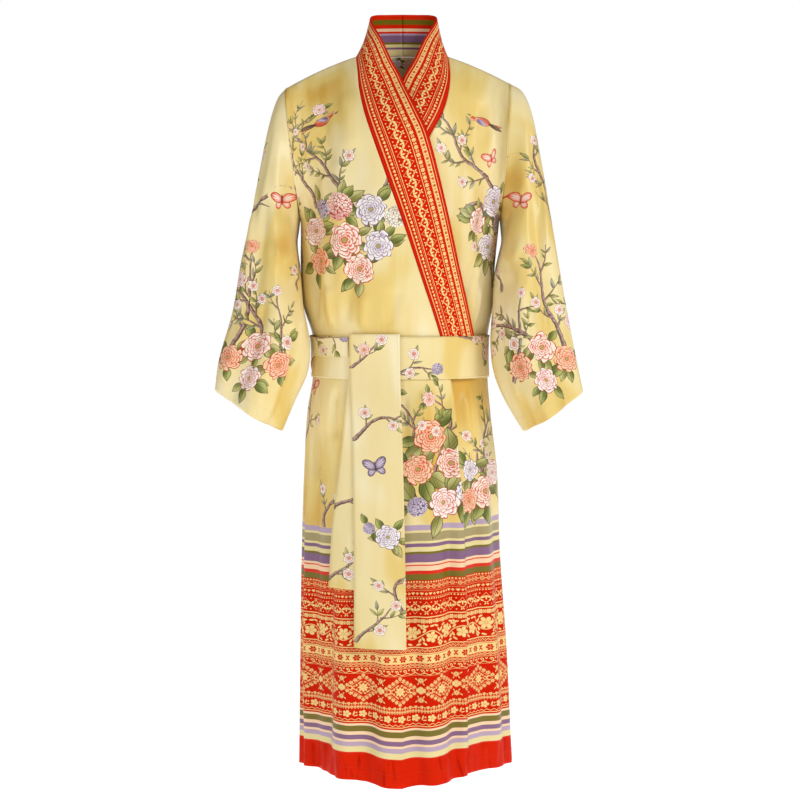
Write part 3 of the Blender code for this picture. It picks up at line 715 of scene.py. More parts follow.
# %% Colours
def screen(red, green, blue):
    values = np.array((red, green, blue)) / 255
    linear = np.where(values <= 0.04045, values / 12.92, ((values + 0.055) / 1.055) ** 2.4)
    return (*(float(v) for v in linear), 1.0)


RED = screen(222, 38, 3)
RED_DEEP = screen(200, 24, 2)
RED_SHADE = screen(158, 14, 1)
ORNAMENT = screen(246, 215, 140)
CREAM = screen(234, 216, 152)
LAVENDER = screen(186, 161, 182)
PURPLE = screen(134, 98, 130)
OLIVE = screen(120, 106, 22)
GREY_OLIVE = screen(170, 154, 108)
PINK = screen(250, 212, 170)

Family = namedtuple("Family", "deep middle pale line")


def families(rows):
    return [Family(*(screen(*colour) for colour in row)) for row in rows]


LEAF_FAMILIES = families((
    ((120, 118, 50), (168, 164, 88), (206, 200, 132), (84, 76, 36)),
    ((150, 146, 60), (204, 194, 104), (228, 216, 150), (104, 96, 44)),
    ((118, 116, 84), (170, 166, 128), (208, 202, 166), (82, 74, 54)),
    ((208, 72, 44), (236, 128, 88), (248, 190, 156), (150, 52, 34)),
    ((216, 190, 190), (244, 226, 214), (252, 244, 232), (150, 116, 104)),
    ((122, 100, 140), (172, 152, 188), (214, 198, 220), (86, 64, 96)),
    ((96, 64, 50), (138, 102, 82), (178, 142, 116), (66, 40, 32)),
    ((92, 100, 36), (132, 140, 62), (186, 186, 108), (62, 62, 26)),
))
(OLIVE_LEAF, YELLOW_LEAF, GREY_LEAF, CORAL_PETAL,
 WHITE_PETAL, LILAC_PETAL, BROWN_LEAF, DEEP_LEAF) = range(1, 9)
BLOOM_FAMILIES = families((
    ((212, 66, 36), (238, 118, 80), (255, 238, 220), (190, 56, 32)),
    ((150, 122, 152), (208, 188, 208), (250, 242, 240), (122, 92, 110)),
    ((224, 104, 96), (246, 172, 152), (255, 244, 234), (184, 76, 70)),
    ((216, 62, 24), (242, 112, 62), (253, 208, 170), (184, 46, 22)),
    ((226, 140, 130), (248, 222, 204), (254, 248, 236), (140, 98, 84)),
    ((206, 60, 44), (240, 150, 124), (254, 232, 216), (190, 44, 34)),
    ((98, 80, 104), (150, 130, 156), (222, 206, 222), (84, 66, 88)),
    ((196, 160, 130), (240, 224, 190), (254, 248, 232), (140, 108, 78)),
))
CORAL, LILAC, ROSE, FLAME, BLOSSOM, RED_BALL, PURPLE_BALL, WHITE_BALL = range(1, 9)
STAMENS, = families((((92, 84, 40), (158, 150, 74), (236, 218, 130), (92, 70, 40)),))
TWIG_COLOURS, = families((((100, 66, 56), (150, 116, 104), (200, 166, 152), (76, 48, 40)),))
FAMILY_STEP = 0.1


def family_colours(tone, table):
    """The four colours of the family that the whole part of the tone names."""
    found = []
    for colours in zip(*table):
        stops = [((i + 1) * FAMILY_STEP, colour) for i, colour in enumerate(colours)]
        found.append(ramp(tone * FAMILY_STEP, [(0.0, colours[0])] + stops[1:], smooth=False))
    return found


print(len(LEAF_FAMILIES), "families of leaves,", len(BLOOM_FAMILIES), "of flowers")

# %% [markdown]
# The ground is a soft wash of cream, straw and gold, never even. It is noise, drawn out along
# the length of the cloth and looked up in a ramp of four tones. Below the flowers come the
# stripes, which need only the height above the hem and a ramp with hard steps.

# %% Ground and stripes
GROUND_TONES = (
    (0.3, screen(218, 172, 76)), (0.42, screen(232, 203, 120)), (0.53, screen(240, 220, 160)),
    (0.68, screen(246, 232, 188)),
)
WASH_SCALE = 7.0
WASH_STRETCH = 0.55
STREAK_SCALE = 26.0
STREAK_STRETCH = 0.1
STREAK_SHARE = 0.28
STRIPES_TOP = 0.423
STRIPES_EDGE = 0.0001
BORDER_END = 0.0975
SOLID_TOP = 0.047
STRIPE_SPAN = 0.5
# Where each stripe starts, in millimetres, and its colour.
STRIPES = (
    (0, RED), (47, CREAM), (57, LAVENDER), (65.5, PINK), (68.5, PURPLE), (77, PINK), (83, OLIVE),
    (92, PINK), (97.5, RED), (332, OLIVE), (341.1, RED), (347.6, PINK), (354, RED), (357, PINK),
    (359.5, PURPLE), (374, OLIVE), (378.7, CREAM), (385.8, PURPLE), (391.6, CREAM), (395.8, GREY_OLIVE),
    (408.4, CREAM), (412.6, LAVENDER),
)
# The inside of the collar at the back, from its seam to its free edge.
COLLAR_LINING = (
    (0, CREAM), (12, PURPLE), (16, CREAM), (23, OLIVE), (26, PURPLE), (40, LAVENDER), (44, RED),
    (47, PINK), (54, RED), (62, OLIVE), (72, RED),
)


def striped(height, stripes):
    stops = [(bottom / 1000 / STRIPE_SPAN, colour) for bottom, colour in stripes]
    return ramp(height / STRIPE_SPAN, stops, smooth=False)


def ground_colour(tree, up, place):
    wash = drawn_out_noise(tree, place, WASH_SCALE, WASH_STRETCH, 2.0)
    streaks = drawn_out_noise(tree, place, STREAK_SCALE, STREAK_STRETCH, 2.0)
    tone = wash + (streaks - 0.5) * STREAK_SHARE
    # A band of the skirt, from 0.44 to 0.72 m above the hem, is a little deeper gold.
    skirt = step(up, 0.72, 0.5) * step(up, 0.4, 0.44) * 0.08
    return ramp(tone - skirt, GROUND_TONES)


print(len(STRIPES), "stripes above and below the border")

# %% [markdown]
# A leaf is drawn in its own small frame: x runs from stalk to tip, y across. It is inside
# where y is less than a rounded width, with a dark outline and a vein, and its tone changes
# from the base to the tip. Petals, wings and feathers are leaves in other colours.

# %% Leaves and twigs
def draw_leaf(below, x, y, tone):
    reach = largest(smallest(x, 1.0), 0.0)
    width = fraction(tone) * 0.24 + 0.1
    margin = abs(y) - width * sine(reach ** 0.78 * math.pi)
    inside = within(margin, 0.0, 0.012) * step(x, 0.0, 0.02)
    deep, middle, pale, line = family_colours(tone, LEAF_FAMILIES)
    shade = blend(deep, pale, step(x + y * 2.2, 0.0, 0.95))
    side_veins = step(sine((x - abs(y) * 1.4) * 42), 0.2, 0.9)
    shade = blend(shade, middle, side_veins * 0.5)
    outline = largest(step(margin, -0.045, -0.025), within(abs(y), 0.01, 0.008))
    return blend(below, blend(shade, line, outline), inside)


def draw_twig(below, run, aside, tone):
    """run is the length along the twig in metres, aside the offset in half widths."""
    knots = noise(below.tree, together(run * 130, aside * 0.35, tone), 1.0)
    off = abs(aside + (knots - 0.5) * 0.9)
    inside = within(off, 1.0, 0.12) * step(tone, 0.4, 0.6)
    shade = blend(TWIG_COLOURS.deep, TWIG_COLOURS.pale, step(aside + (knots - 0.5) * 2.5, -0.8, 0.9))
    shade = blend(shade, TWIG_COLOURS.line, step(off, 0.55, 0.9))
    return blend(below, shade, inside)


print("a leaf has", len(LEAF_FAMILIES), "families of colours")

# %% [markdown]
# A peony is a nest of petal rings. Going round, each ring's edge dips between two petals; going
# outwards, a petal turns from deep to pale and ends in a white rim and a drawn line. Rings are
# laid one on another from the largest to the smallest, and noise keeps them from being regular.
# The round heads of small florets are cells, each with a rim and an eye.

# %% Flowers
PETAL_RINGS = read_table("radius petals turn", (
    (1.0, 8, 0.1), (0.8, 8, 0.45), (0.61, 7, 0.2), (0.44, 6, 0.75), (0.28, 5, 0.3),
))
FIRST_OPEN_RING = 3
OPEN_RADII = (1.0, 0.62)
NOTCH = 0.26
FLORETS_ACROSS = 4.4


def florets(place, feature="F1"):
    """The cells of a round head: how far a place lies from a floret's eye or from its rim."""
    made = place.tree.nodes.new("ShaderNodeTexVoronoi")
    made.feature = feature
    made.inputs["Scale"].default_value = FLORETS_ACROSS
    made.inputs["Randomness"].default_value = 0.75
    plug(made.inputs["Vector"], place)
    return Wire(made.outputs["Distance"])


def draw_bloom(below, x, y, tone):
    tree = below.tree
    seed = fraction(tone) * 37
    bend = noise(tree, together(x + seed, y - seed, seed), 1.7)
    radius = distance(x, y)
    round_about = turn(x, y) + (bend - 0.5) * 1.3
    spread = radius * ((bend - 0.5) * 0.38 + 1.0)
    deep, middle, pale, line = family_colours(tone, BLOOM_FAMILIES)
    flower = below
    small = within(abs(tone - (BLOSSOM + 0.5)), 0.5, 0.001)
    for i, ring in enumerate(PETAL_RINGS):
        across = fraction(round_about * (ring.petals / math.tau) + (seed + ring.turn)) - 0.5
        gap = abs(across) * 2
        edge = ring.radius * (1 - NOTCH * gap ** 2.6)
        if i >= FIRST_OPEN_RING:
            open_radius = OPEN_RADII[i - FIRST_OPEN_RING]
            edge = edge * (small * (open_radius / ring.radius - 1) + 1)
        out = spread / edge
        inside = within(out, 1.0, 0.014 / ring.radius)
        if i < FIRST_OPEN_RING:
            inside = inside * (1 - small)
        streak = step(sine(across * 30 + bend * 9), 0.1, 0.9) * step(out, 0.96, 0.62) * 0.75
        shade = blend(deep, middle, step(out, 0.45, 0.72))
        shade = blend(shade, pale, step(out + (bend - 0.5) * 0.4, 0.64, 0.82))
        shade = blend(shade, deep, streak)
        seam = largest(step(out, 0.93, 0.955), step(gap, 0.92, 0.97) * step(out, 0.5, 0.6))
        shade = blend(shade, line, seam)
        flower = blend(flower, shade, inside)
    heart = step(sine(x * 90 + seed) * sine(y * 90), -0.2, 0.3)
    flower = blend(flower, blend(STAMENS.deep, STAMENS.pale, heart), within(spread, 0.13, 0.02))
    place = together(x + seed, y)
    eye = florets(place)
    rim = step(florets(place, "DISTANCE_TO_EDGE"), 0.085, 0.045)
    cell = blend(pale, middle, step(eye, 0.42, 0.12))
    cell = blend(cell, line, largest(rim, within(eye, 0.09, 0.02)))
    cell = blend(cell, deep, step(y + x * 0.5, 0.3, -0.8) * 0.35)
    ball = within(radius + (eye - 0.3) * 0.16, 0.93, 0.02)
    is_ball = step(tone, RED_BALL - 0.001, RED_BALL)
    shown = blend(flower, blend(below, cell, ball), is_ball)
    return blend(below, shown, step(tone, 0.4, 0.6))


print("a peony has", len(PETAL_RINGS), "rings of petals")

# %% [markdown]
# A butterfly is folded down its middle: the same two wings are drawn for both sides by
# taking the size of x. Each wing is an ellipse set at a slant, with a dark rim and rays.

# %% Butterflies
Wing = namedtuple("Wing", "x y slant length width")
WINGS = (Wing(0.34, -0.26, -0.9, 0.4, 0.27), Wing(0.42, 0.26, 0.75, 0.56, 0.34))


def slanted(x, y, shape):
    """Where a place lies in the frame of an ellipse: 1 on its rim."""
    cos, sin = math.cos(shape.slant), math.sin(shape.slant)
    along_it = ((x - shape.x) * cos + (y - shape.y) * sin) / shape.length
    across_it = ((y - shape.y) * cos - (x - shape.x) * sin) / shape.width
    return along_it, across_it


def draw_butterfly(below, x, y, tone):
    side = abs(x)
    deep, middle, pale, line = family_colours(tone, BLOOM_FAMILIES)
    shown = below
    for wing in WINGS:
        along_it, across_it = slanted(side, y, wing)
        out = distance(along_it, across_it)
        rays = step(sine(turn(side + 0.02, y + 0.02) * 26), 0.3, 0.8) * 0.8
        shade = blend(pale, middle, step(out, 0.3, 0.9))
        shade = blend(shade, deep, rays)
        shade = blend(shade, line, step(out, 0.82, 0.9))
        shown = blend(shown, shade, within(out, 1.0, 0.04))
    body = distance(side / 0.055, (y - 0.05) / 0.42)
    shown = blend(shown, TWIG_COLOURS.deep, within(body, 1.0, 0.1))
    return blend(below, shown, step(tone, 0.4, 0.6))


print("a butterfly has", len(WINGS), "wings on each side")

# %% [markdown]
# The border and the collar are red with cream ornament in rows, a traditional kind of band.
# Each row is one motif repeated along it. A row's formula gets x and y from the middle of one
# repeat, both measured in heights of the row so that a circle stays round, and how wide the
# repeat is. It gives 1 where the cream lies.

# %% Ornament of the rows
def floret(x, y, petals, radius, soft=0.02):
    """A small flower of round petals with an open eye."""
    out = distance(x, y)
    lobes = abs(cosine(turn(x, y) * (petals / 2))) ** 0.6
    open_between = step(lobes, 0.15, 0.4) * step(out, radius * 0.16, radius * 0.26)
    return within(out, radius * (0.48 + 0.52 * lobes), soft) * open_between


def ring_line(x, y, radius, width):
    return within(abs(distance(x, y) - radius), width, 0.015)


def dot(x, y, radius):
    return within(distance(x, y), radius, 0.02)


def petal(x, y, at_x, at_y, slant, length, width):
    return within(distance(*slanted(x, y, Wing(at_x, at_y, slant, length, width))), 1.0, 0.12)


def wreath(x, y, count, radius, size):
    """Dots in a circle."""
    about = turn(x, y) * (count / math.tau)
    near = (fraction(about + 0.5) - 0.5) * (math.tau / count)
    out = distance(x, y)
    return within(distance(out * cosine(near) - radius, out * sine(near)), size, 0.015)


def any_of(*masks):
    found = masks[0]
    for mask in masks[1:]:
        found = largest(found, mask)
    return found


def row_dots(x, y, wide):
    return dot(x, y, 0.24)


def row_line(x, y, wide):
    return within(abs(y), 0.25, 0.05)


def row_chain(x, y, wide):
    side = wide / 2 - abs(x)
    return any_of(ring_line(x, y, 0.29, 0.055), dot(x, y, 0.1), within(side + abs(y), 0.15, 0.02),
                  step(abs(y), 0.455, 0.475))


def row_hearts(x, y, wide):
    lobe = dot(abs(x) - 0.1, y - 0.08, 0.12)
    tip = within(abs(x) + (0.04 - y) * 0.9, 0.24, 0.02) * step(y, 0.16, 0.08)
    side = wide / 2 - abs(x)
    return any_of(lobe, tip, floret(side, y, 4, 0.2), step(abs(y), 0.455, 0.475))


def cross(x, y, radius):
    """Four slim petals set like an X."""
    out = distance(x, y)
    return within(out, radius * (0.55 - 0.45 * cosine(turn(x, y) * 4)), 0.015) * step(out, 0.02, 0.04)


def fan(x, y):
    """Three leaves that rise from one point."""
    upright = petal(x, y, 0.0, 0.14, math.pi / 2, 0.13, 0.042)
    return largest(upright, petal(abs(x), y, 0.105, 0.09, 0.75, 0.115, 0.038))


def row_zigzag(x, y, wide):
    """A zigzag thread with crosses on its slopes and fans of leaves in its corners."""
    side = wide / 2 - abs(x)
    thread = within(abs(y + 0.4 - abs(x) * (1.6 / wide)), 0.014, 0.01)
    on_slope = abs(x) - wide / 4
    clear = 1 - dot(on_slope, y, 0.21)
    return any_of(thread * clear, cross(on_slope, y, 0.23), fan(x, y + 0.2), fan(side, 0.2 - y),
                  cross(x, y - 0.28, 0.15), cross(side, y + 0.28, 0.15),
                  dot(on_slope, abs(y) - 0.36, 0.035))


def row_saw(x, y, wide):
    peak = abs(x) / wide * 2
    saw = within(abs(y - (peak - 0.5) * 0.7), 0.11, 0.03)
    return any_of(saw, dot(x, y - 0.22, 0.1), dot(wide / 2 - abs(x), y + 0.22, 0.1))


VINE_LEAVES = (
    (-0.06, 0.17, 1.9), (0.06, 0.2, 1.0), (0.1, 0.4, 0.3), (-0.05, 0.42, 2.7),
    (0.03, -0.17, 2.0), (-0.05, -0.24, 1.1), (0.07, -0.37, 2.5), (-0.08, -0.42, 0.4),
    (-0.46, 0.24, 1.1), (0.46, 0.22, 2.0), (-0.38, 0.42, 0.5), (0.39, 0.42, 2.7),
    (0.45, -0.18, 1.2), (-0.45, -0.15, 2.1), (-0.31, -0.42, 2.8), (0.27, 0.42, 0.1),
)


def row_vine(x, y, wide):
    """A waving stem with an open flower in each hollow and leaves between."""
    stem = within(abs(y - sine(x * (math.tau / wide)) * 0.2), 0.022, 0.012)
    upper, lower = x + wide * 0.25, x - wide * 0.25
    flowers = any_of(floret(upper, y - 0.1, 6, 0.29), dot(upper, y - 0.1, 0.05),
                     floret(lower, y + 0.08, 5, 0.25), dot(lower, y + 0.08, 0.045))
    low_bud = floret(wide / 2 - abs(x), y + 0.36, 5, 0.12)
    buds = largest(floret(x - wide * 0.03, y - 0.37, 5, 0.12), low_bud)
    leaves = [petal(x, y, wide * at, high, slant, 0.1, 0.042) for at, high, slant in VINE_LEAVES]
    return any_of(stem, flowers, buds, *leaves)


def row_flowers(x, y, wide):
    """Flowers and paired leaves. On the light band they are red."""
    side = wide / 2 - abs(x)
    leaves = any_of(petal(side, abs(y), 0.1, 0.17, 0.9, 0.15, 0.075), dot(side, y, 0.07))
    return any_of(floret(x, y, 6, 0.4), dot(x, y, 0.06), leaves)


def row_light_flowers(x, y, wide):
    return 1 - row_flowers(x, y, wide)


def row_scroll(x, y, wide):
    """Running curls on a stem."""
    curl = ring_line(x, y - 0.02, 0.22, 0.05) * step(x + y, -0.14, -0.06)
    eye = dot(x + 0.02, y - 0.04, 0.08)
    stem = within(abs(y + 0.28 - sine(x * (math.tau / wide)) * 0.1), 0.045, 0.02)
    side = wide / 2 - abs(x)
    leaf = petal(side, y, 0.05, 0.2, 1.1, 0.16, 0.05)
    return any_of(curl, eye, stem, leaf, step(abs(y), 0.45, 0.475))


def row_medallions(x, y, wide):
    """Diamonds of small flowers round a rosette, with hooks at their sides and stars between."""
    right, high = abs(x), abs(y)
    side = wide / 2 - right
    edge = [floret(right - wide * 0.46 * t, high - 0.43 * (1 - t), 5, 0.058)
            for t in (0.0, 0.19, 0.38, 0.57, 0.76, 0.95)]
    inner = within(abs(right / wide * 2 + high * 2 - 0.7), 0.013, 0.01)
    beads = [dot(right - wide * 0.25 * t, high - 0.25 * (1 - t), 0.024) for t in (0.2, 0.4, 0.6, 0.8)]
    hook = ring_line(right - wide * 0.29, y, 0.07, 0.018) * step(right - wide * 0.29, 0.03, 0.0)
    star = any_of(floret(side, high - 0.32, 8, 0.085), floret(side, y, 4, 0.12), dot(side, y, 0.028),
                  petal(side, high, 0.125, 0.37, 0.8, 0.042, 0.017),
                  petal(side, high, 0.075, 0.21, 2.2, 0.036, 0.016))
    rosette = any_of(floret(x, y, 8, 0.155), dot(x, y, 0.03), wreath(x, y, 9, 0.2, 0.022))
    return any_of(rosette, inner, hook, star, *edge, *beads)


def row_lattice(x, y, wide):
    """Small flowers over a net of crossing lines with a bead in each mesh."""
    side = wide / 2 - abs(x)
    slope = (abs(x) / wide * 2 - 0.5) * 0.52
    net = [within(abs(line), 0.035, 0.02) for line in (y + 0.17 - slope, y + 0.17 + slope)]
    return any_of(*net, floret(x, y - 0.3, 5, 0.19), dot(side, y - 0.26, 0.08), dot(x, y + 0.17, 0.09),
                  dot(side, y + 0.17, 0.09))


def row_sprigs(x, y, wide):
    """A flower, then a bent sprig."""
    at = x - wide * 0.25
    sprig = any_of(petal(at, y, -0.09, 0.05, 1.35, 0.28, 0.06), petal(at, y, 0.08, -0.22, 0.25, 0.17, 0.06),
                   dot(at - 0.13, y - 0.12, 0.08))
    return any_of(floret(x + wide * 0.25, y, 5, 0.42), dot(x + wide * 0.25, y, 0.06), sprig)


def row_wave(x, y, wide):
    return within(abs(y - cosine(x * (math.tau / wide)) * 0.22), 0.1, 0.04)


def row_plain(x, y, wide):
    return x * 0.0


BORDER_ROWS = read_table("draw top period", (
    (row_dots, 0.332, 0.0042), (row_chain, 0.3264, 0.0094), (row_plain, 0.3177, 1),
    (row_hearts, 0.3153, 0.0125), (row_dots, 0.3049, 0.004), (row_zigzag, 0.3001, 0.031),
    (row_line, 0.2746, 1), (row_flowers, 0.2714, 0.0105), (row_vine, 0.2619, 0.054),
    (row_line, 0.2268, 1), (row_saw, 0.2236, 0.0068), (row_line, 0.218, 1),
    (row_light_flowers, 0.215, 0.0245), (row_chain, 0.2013, 0.007), (row_scroll, 0.194, 0.0125),
    (row_medallions, 0.1821, 0.0598), (row_lattice, 0.1343, 0.0078), (row_sprigs, 0.1215, 0.0208),
    (row_wave, 0.107, 0.0085), (row_line, 0.102, 1), (row_plain, 0.0995, 1),
))
# The collar's rows, by their distance from the seam.
COLLAR_ROWS = read_table("draw top period", (
    (row_plain, 0.0065, 1), (row_line, 0.0085, 1), (row_hearts, 0.019, 0.0125), (row_plain, 0.0206, 1),
    (row_line, 0.0224, 1), (row_zigzag, 0.0514, 0.033), (row_line, 0.0532, 1),
    (row_flowers, 0.0622, 0.0125), (row_plain, 0.065, 1), (row_line, 0.0664, 1),
    (row_light_flowers, 0.0732, 0.011), (row_plain, 0.0764, 1), (row_line, 0.0776, 1),
    (row_plain, 0.082, 1),
))
print(len(BORDER_ROWS), "rows in the border and", len(COLLAR_ROWS), "on the collar")

# %% [markdown]
# Every material ends in the same satin. Cotton satin floats most of its threads on the right
# side, so it is smooth with a soft gloss. Two bumps are felt rather than seen: fine slubs that
# run along the warp, and a very slight unevenness that breaks up the highlights.

# %% Satin
GLOSS = 0.38
SILK_SHINE = 0.3
RED_SHINE = 0.03
FLECK_SCALE = 900.0
# The two bumps, ripples and slubs: scale, stretch and height.
BUMPS = ((38.0, 0.35, 0.0022), (700.0, 0.12, 0.00012))


def new_material(name, constants):
    """A material with constants set on its shader's own sockets."""
    material = bpy.data.materials.new(name)
    material.use_nodes = True
    for socket, value in constants.items():
        material.node_tree.nodes["Principled BSDF"].inputs[socket].default_value = value
    return material


def new_cloth(name, shine=RED_SHINE):
    """A cloth material with its gloss, the tree for its colour and the place on the flat cloth."""
    material = new_material(name, {"Roughness": GLOSS, "Specular IOR Level": shine})
    tree = material.node_tree
    (across, up, _), place = read_places(tree, "cut")
    return material, tree, across, up, place


def finish_cloth(material, colour, place):
    tree = material.node_tree
    shader = tree.nodes["Principled BSDF"]
    plug(shader.inputs["Base Color"], colour)
    normal = None
    for scale, stretch, height in BUMPS:
        bump = tree.nodes.new("ShaderNodeBump")
        bump.inputs["Distance"].default_value = height
        bump.inputs["Strength"].default_value = 1.0
        plug(bump.inputs["Height"], drawn_out_noise(tree, place, scale, stretch, 1.0))
        if normal:
            plug(bump.inputs["Normal"], normal)
        normal = Wire(bump.outputs[0])
    plug(shader.inputs["Normal"], normal)
    return material


def row_material(name, row, low, high, along_at, across_at):
    """The material of one row of ornament between two heights."""
    material, tree, across, up, place = new_cloth(name)
    run, rise = (across, up) if across_at == "up" else (up, across)
    wide = row.period / (high - low)
    x = (fraction(run / row.period + along_at) - 0.5) * wide
    y = (rise - (low + high) / 2) / (high - low)
    mask = row.draw(x, y, wide)
    fade = noise(tree, place, FLECK_SCALE)
    red = blend(RED_DEEP, RED, step(fade, 0.35, 0.7))
    return finish_cloth(material, blend(red, ORNAMENT, mask), place)


ROW_SHIFT = 0.37


def rows_of(table, prefix, across_at):
    """Materials for a table of rows, with the band that each covers."""
    bands = []
    lows = [row.top for row in table[1:]] + [BORDER_END]
    if across_at == "across":
        lows = [0.0] + [row.top for row in table[:-1]]
    for i, (row, low) in enumerate(zip(table, lows)):
        high = row.top
        kind = row.draw.__name__.replace("row_", "")
        name = f"{prefix}_{i + 1}_{kind}"
        bands.append((low, high, row_material(name, row, low, high, ROW_SHIFT * i, across_at)))
    return bands


LEAFY_LAYERS = ("twig_1", "twig_2", "leaf_1", "leaf_2", "leaf_3")
LAYERS = LEAFY_LAYERS + ("bloom_1", "bloom_2", "bloom_3")
DRAW = {"twig": draw_twig, "leaf": draw_leaf, "bloom": draw_bloom, "wings": draw_butterfly}


def printed_silk(name, layers):
    material, tree, across, up, place = new_cloth(name, SILK_SHINE)
    colour = ground_colour(tree, up, place)
    below_top = step(up, STRIPES_TOP + STRIPES_EDGE, STRIPES_TOP - STRIPES_EDGE)
    colour = blend(colour, striped(up, STRIPES), below_top)
    for layer in layers:
        (x, y, tone), _ = read_places(tree, layer)
        colour = DRAW[layer.split("_")[0]](colour, x, y, tone)
    return finish_cloth(material, colour, place)


def plain_cloth(name, colour_of):
    material, tree, across, up, place = new_cloth(name)
    return finish_cloth(material, colour_of(tree, across, up, place), place)


def red_cloth(tree, across, up, place):
    """Red with a slight fleck, and painted shade in short upright streaks where crumples would throw shade.
    """
    red = blend(RED_DEEP, RED, step(noise(tree, place, FLECK_SCALE), 0.25, 0.6))
    painted_crumple_shade = noise(tree, together(across * 95 + up * 9, up * 16, 0.0), 1.0)
    # Painted shade: darker red streaks that stand in for the shading of small upright crumples.
    return blend(red, RED_SHADE, step(painted_crumple_shade, 0.56, 0.8) * 0.8)


SILK = {
    "plain": printed_silk("silk_ground", ()),
    "leafy": printed_silk("silk_with_leaves", LEAFY_LAYERS),
    "bloomed": printed_silk("silk_with_flowers", LAYERS),
    "winged": printed_silk("silk_with_butterfly", ("wings_1",)),
}
SOLID_RED = plain_cloth("solid_red", red_cloth)
LINING = plain_cloth("collar_lining", lambda tree, across, up, place: striped(across, COLLAR_LINING))
BORDER = [(0.0, SOLID_TOP, SOLID_RED)] + rows_of(BORDER_ROWS, "border", "up")
COLLAR = rows_of(COLLAR_ROWS, "collar", "across")
print(len(bpy.data.materials), "cloth materials")

# %% [markdown]
# A motif is stamped on a panel by giving the faces under it the motif's own small frame. Each
# corner of a face stores where it lies in that frame, and the third number names the family.
# Faces can hold several motifs in different layers, so flowers may lie over leaves over twigs.

# %% Stamping motifs
def pointing(heading):
    return np.array((math.cos(heading), math.sin(heading)))


class PrintedPanel:
    """The flat faces of one panel and the motifs on them."""

    def __init__(self, places, quads):
        self.corners = places[quads]
        self.middles = self.corners.mean(axis=1)
        self.layers = {name: np.zeros((len(quads), 4, 3)) for name in LAYERS + ("wings_1",)}
        self.used = {name: np.zeros(len(quads), bool) for name in self.layers}
        self.dropped = 0

    def near(self, at, reach):
        return np.flatnonzero(np.abs(self.middles - at).max(axis=1) < reach)

    def lay(self, kind, faces, values):
        """Puts values into the first layer of a kind whose faces are all free."""
        for name in (name for name in self.layers if name.startswith(kind)):
            if len(faces) and not (self.used[name] | self.used["wings_1"])[faces].any():
                self.layers[name][faces] = values
                self.used[name][faces] = True
                return True
        self.dropped += 1
        return False

    def stamp(self, kind, at, heading, size, tone, reach):
        """A motif in a frame of its own. reach gives its lowest and highest x and y there."""
        faces = self.near(at, size * max(abs(v) for v in reach) * 1.5 + GRID_STEP)
        ahead = pointing(heading)
        left = np.array((-ahead[1], ahead[0]))
        offset = self.corners[faces] - at
        x, y = offset @ ahead / size, offset @ left / size
        low_x, high_x, low_y, high_y = reach
        touched = (x.max(axis=1) > low_x) & (x.min(axis=1) < high_x)
        touched &= (y.max(axis=1) > low_y) & (y.min(axis=1) < high_y)
        values = joined(x, y, float(tone))
        return self.lay(kind, faces[touched], values[touched])

    def leaf(self, at, heading, size, tone, breadth):
        """breadth runs from 0.02, slim, to 0.98, round."""
        half = 0.24 * breadth + 0.11
        return self.stamp("leaf", at, heading, size, tone + breadth, (0.0, 1.0, -half, half))

    def bloom(self, at, size, tone, random):
        heading = random.uniform(0, math.tau)
        tone = tone + random.uniform(0.05, 0.95)
        return self.stamp("bloom", at, heading, size, tone, (-1.1, 1.1, -1.1, 1.1))

    def twig(self, line, widths):
        """A branch along a smooth line of points, with a half width at each."""
        run = lengths_along(line)
        faces = np.unique(np.concatenate([self.near(point, GRID_STEP * 2.2) for point in line[::2]]))
        if not len(faces):
            return
        ways = unit(np.gradient(line, axis=0))
        corners = self.corners[faces].reshape(-1, 2)
        nearest = np.argmin(((corners[:, None] - line[None]) ** 2).sum(axis=-1), axis=1)
        offset = corners - line[nearest]
        along_it = (offset * ways[nearest]).sum(axis=1)
        aside = offset[:, 1] * ways[nearest, 0] - offset[:, 0] * ways[nearest, 1]
        inside = (along_it > -GRID_STEP) | (nearest > 0)
        values = joined(run[nearest] + along_it, aside / widths[nearest], 1.0).reshape(-1, 4, 3)
        touched = (np.abs(values[..., 1]).min(axis=1) < 1.6) | (np.ptp(np.sign(values[..., 1]), axis=1) > 0)
        touched &= inside.reshape(-1, 4).all(axis=1)
        faces, values = faces[touched], values[touched]
        name = min(LAYERS[:2], key=lambda layer: self.used[layer][faces].sum())
        free = ~(self.used[name] | self.used["wings_1"])[faces]
        self.layers[name][faces[free]] = values[free]
        self.used[name][faces[free]] = True

    def dress(self, sheet, bands=()):
        """Gives the sheet its attributes and its faces their materials."""
        mesh = sheet.data
        for name, values in self.layers.items():
            set_vectors(mesh, name, "CORNER", values)
        blooms = sum(self.used[name] for name in LAYERS if name not in LEAFY_LAYERS) > 0
        leaves = sum(self.used[name] for name in LEAFY_LAYERS) > 0
        kinds = np.where(self.used["wings_1"], 3, np.where(blooms, 2, np.where(leaves, 1, 0)))
        for material in SILK.values():
            mesh.materials.append(material)
        height = self.middles[:, 1]
        for low, high, material in bands:
            covered = (height >= low) & (height < high)
            kinds = np.where(covered, len(mesh.materials), kinds)
            mesh.materials.append(material)
        mesh.polygons.foreach_set("material_index", kinds.astype(np.int32))


print("panels can be printed")

# %% [markdown]
# A spray grows like a plant: a bent main branch, side twigs that leave it left and right, pairs
# of leaves along the twigs, and flowers at the ends. A table places the sprays on each panel,
# and seeded random numbers vary them. The layout is the lesson's own; only the colours, the
# scale and how densely the flowers stand follow the look of such a robe.

# %% Sprays
TWIG_STEP = 0.003
LONG_SPRAY = 0.2
LARGE_FLOWER = 12
BUTTERFLY_SIZE = 0.022
LEAF_TONES = (OLIVE_LEAF, OLIVE_LEAF, YELLOW_LEAF, GREY_LEAF, GREY_LEAF, DEEP_LEAF)


def grow_line(at, heading, length, bend, random):
    """A gently wandering line of points."""
    points = [np.array(at, float)]
    wander = 0.0
    for _ in range(max(4, round(length / TWIG_STEP))):
        wander = 0.85 * wander + random.normal(0.0, 0.055)
        heading += bend * TWIG_STEP / length + wander * 0.5
        points.append(points[-1] + TWIG_STEP * pointing(heading))
    return np.array(points)


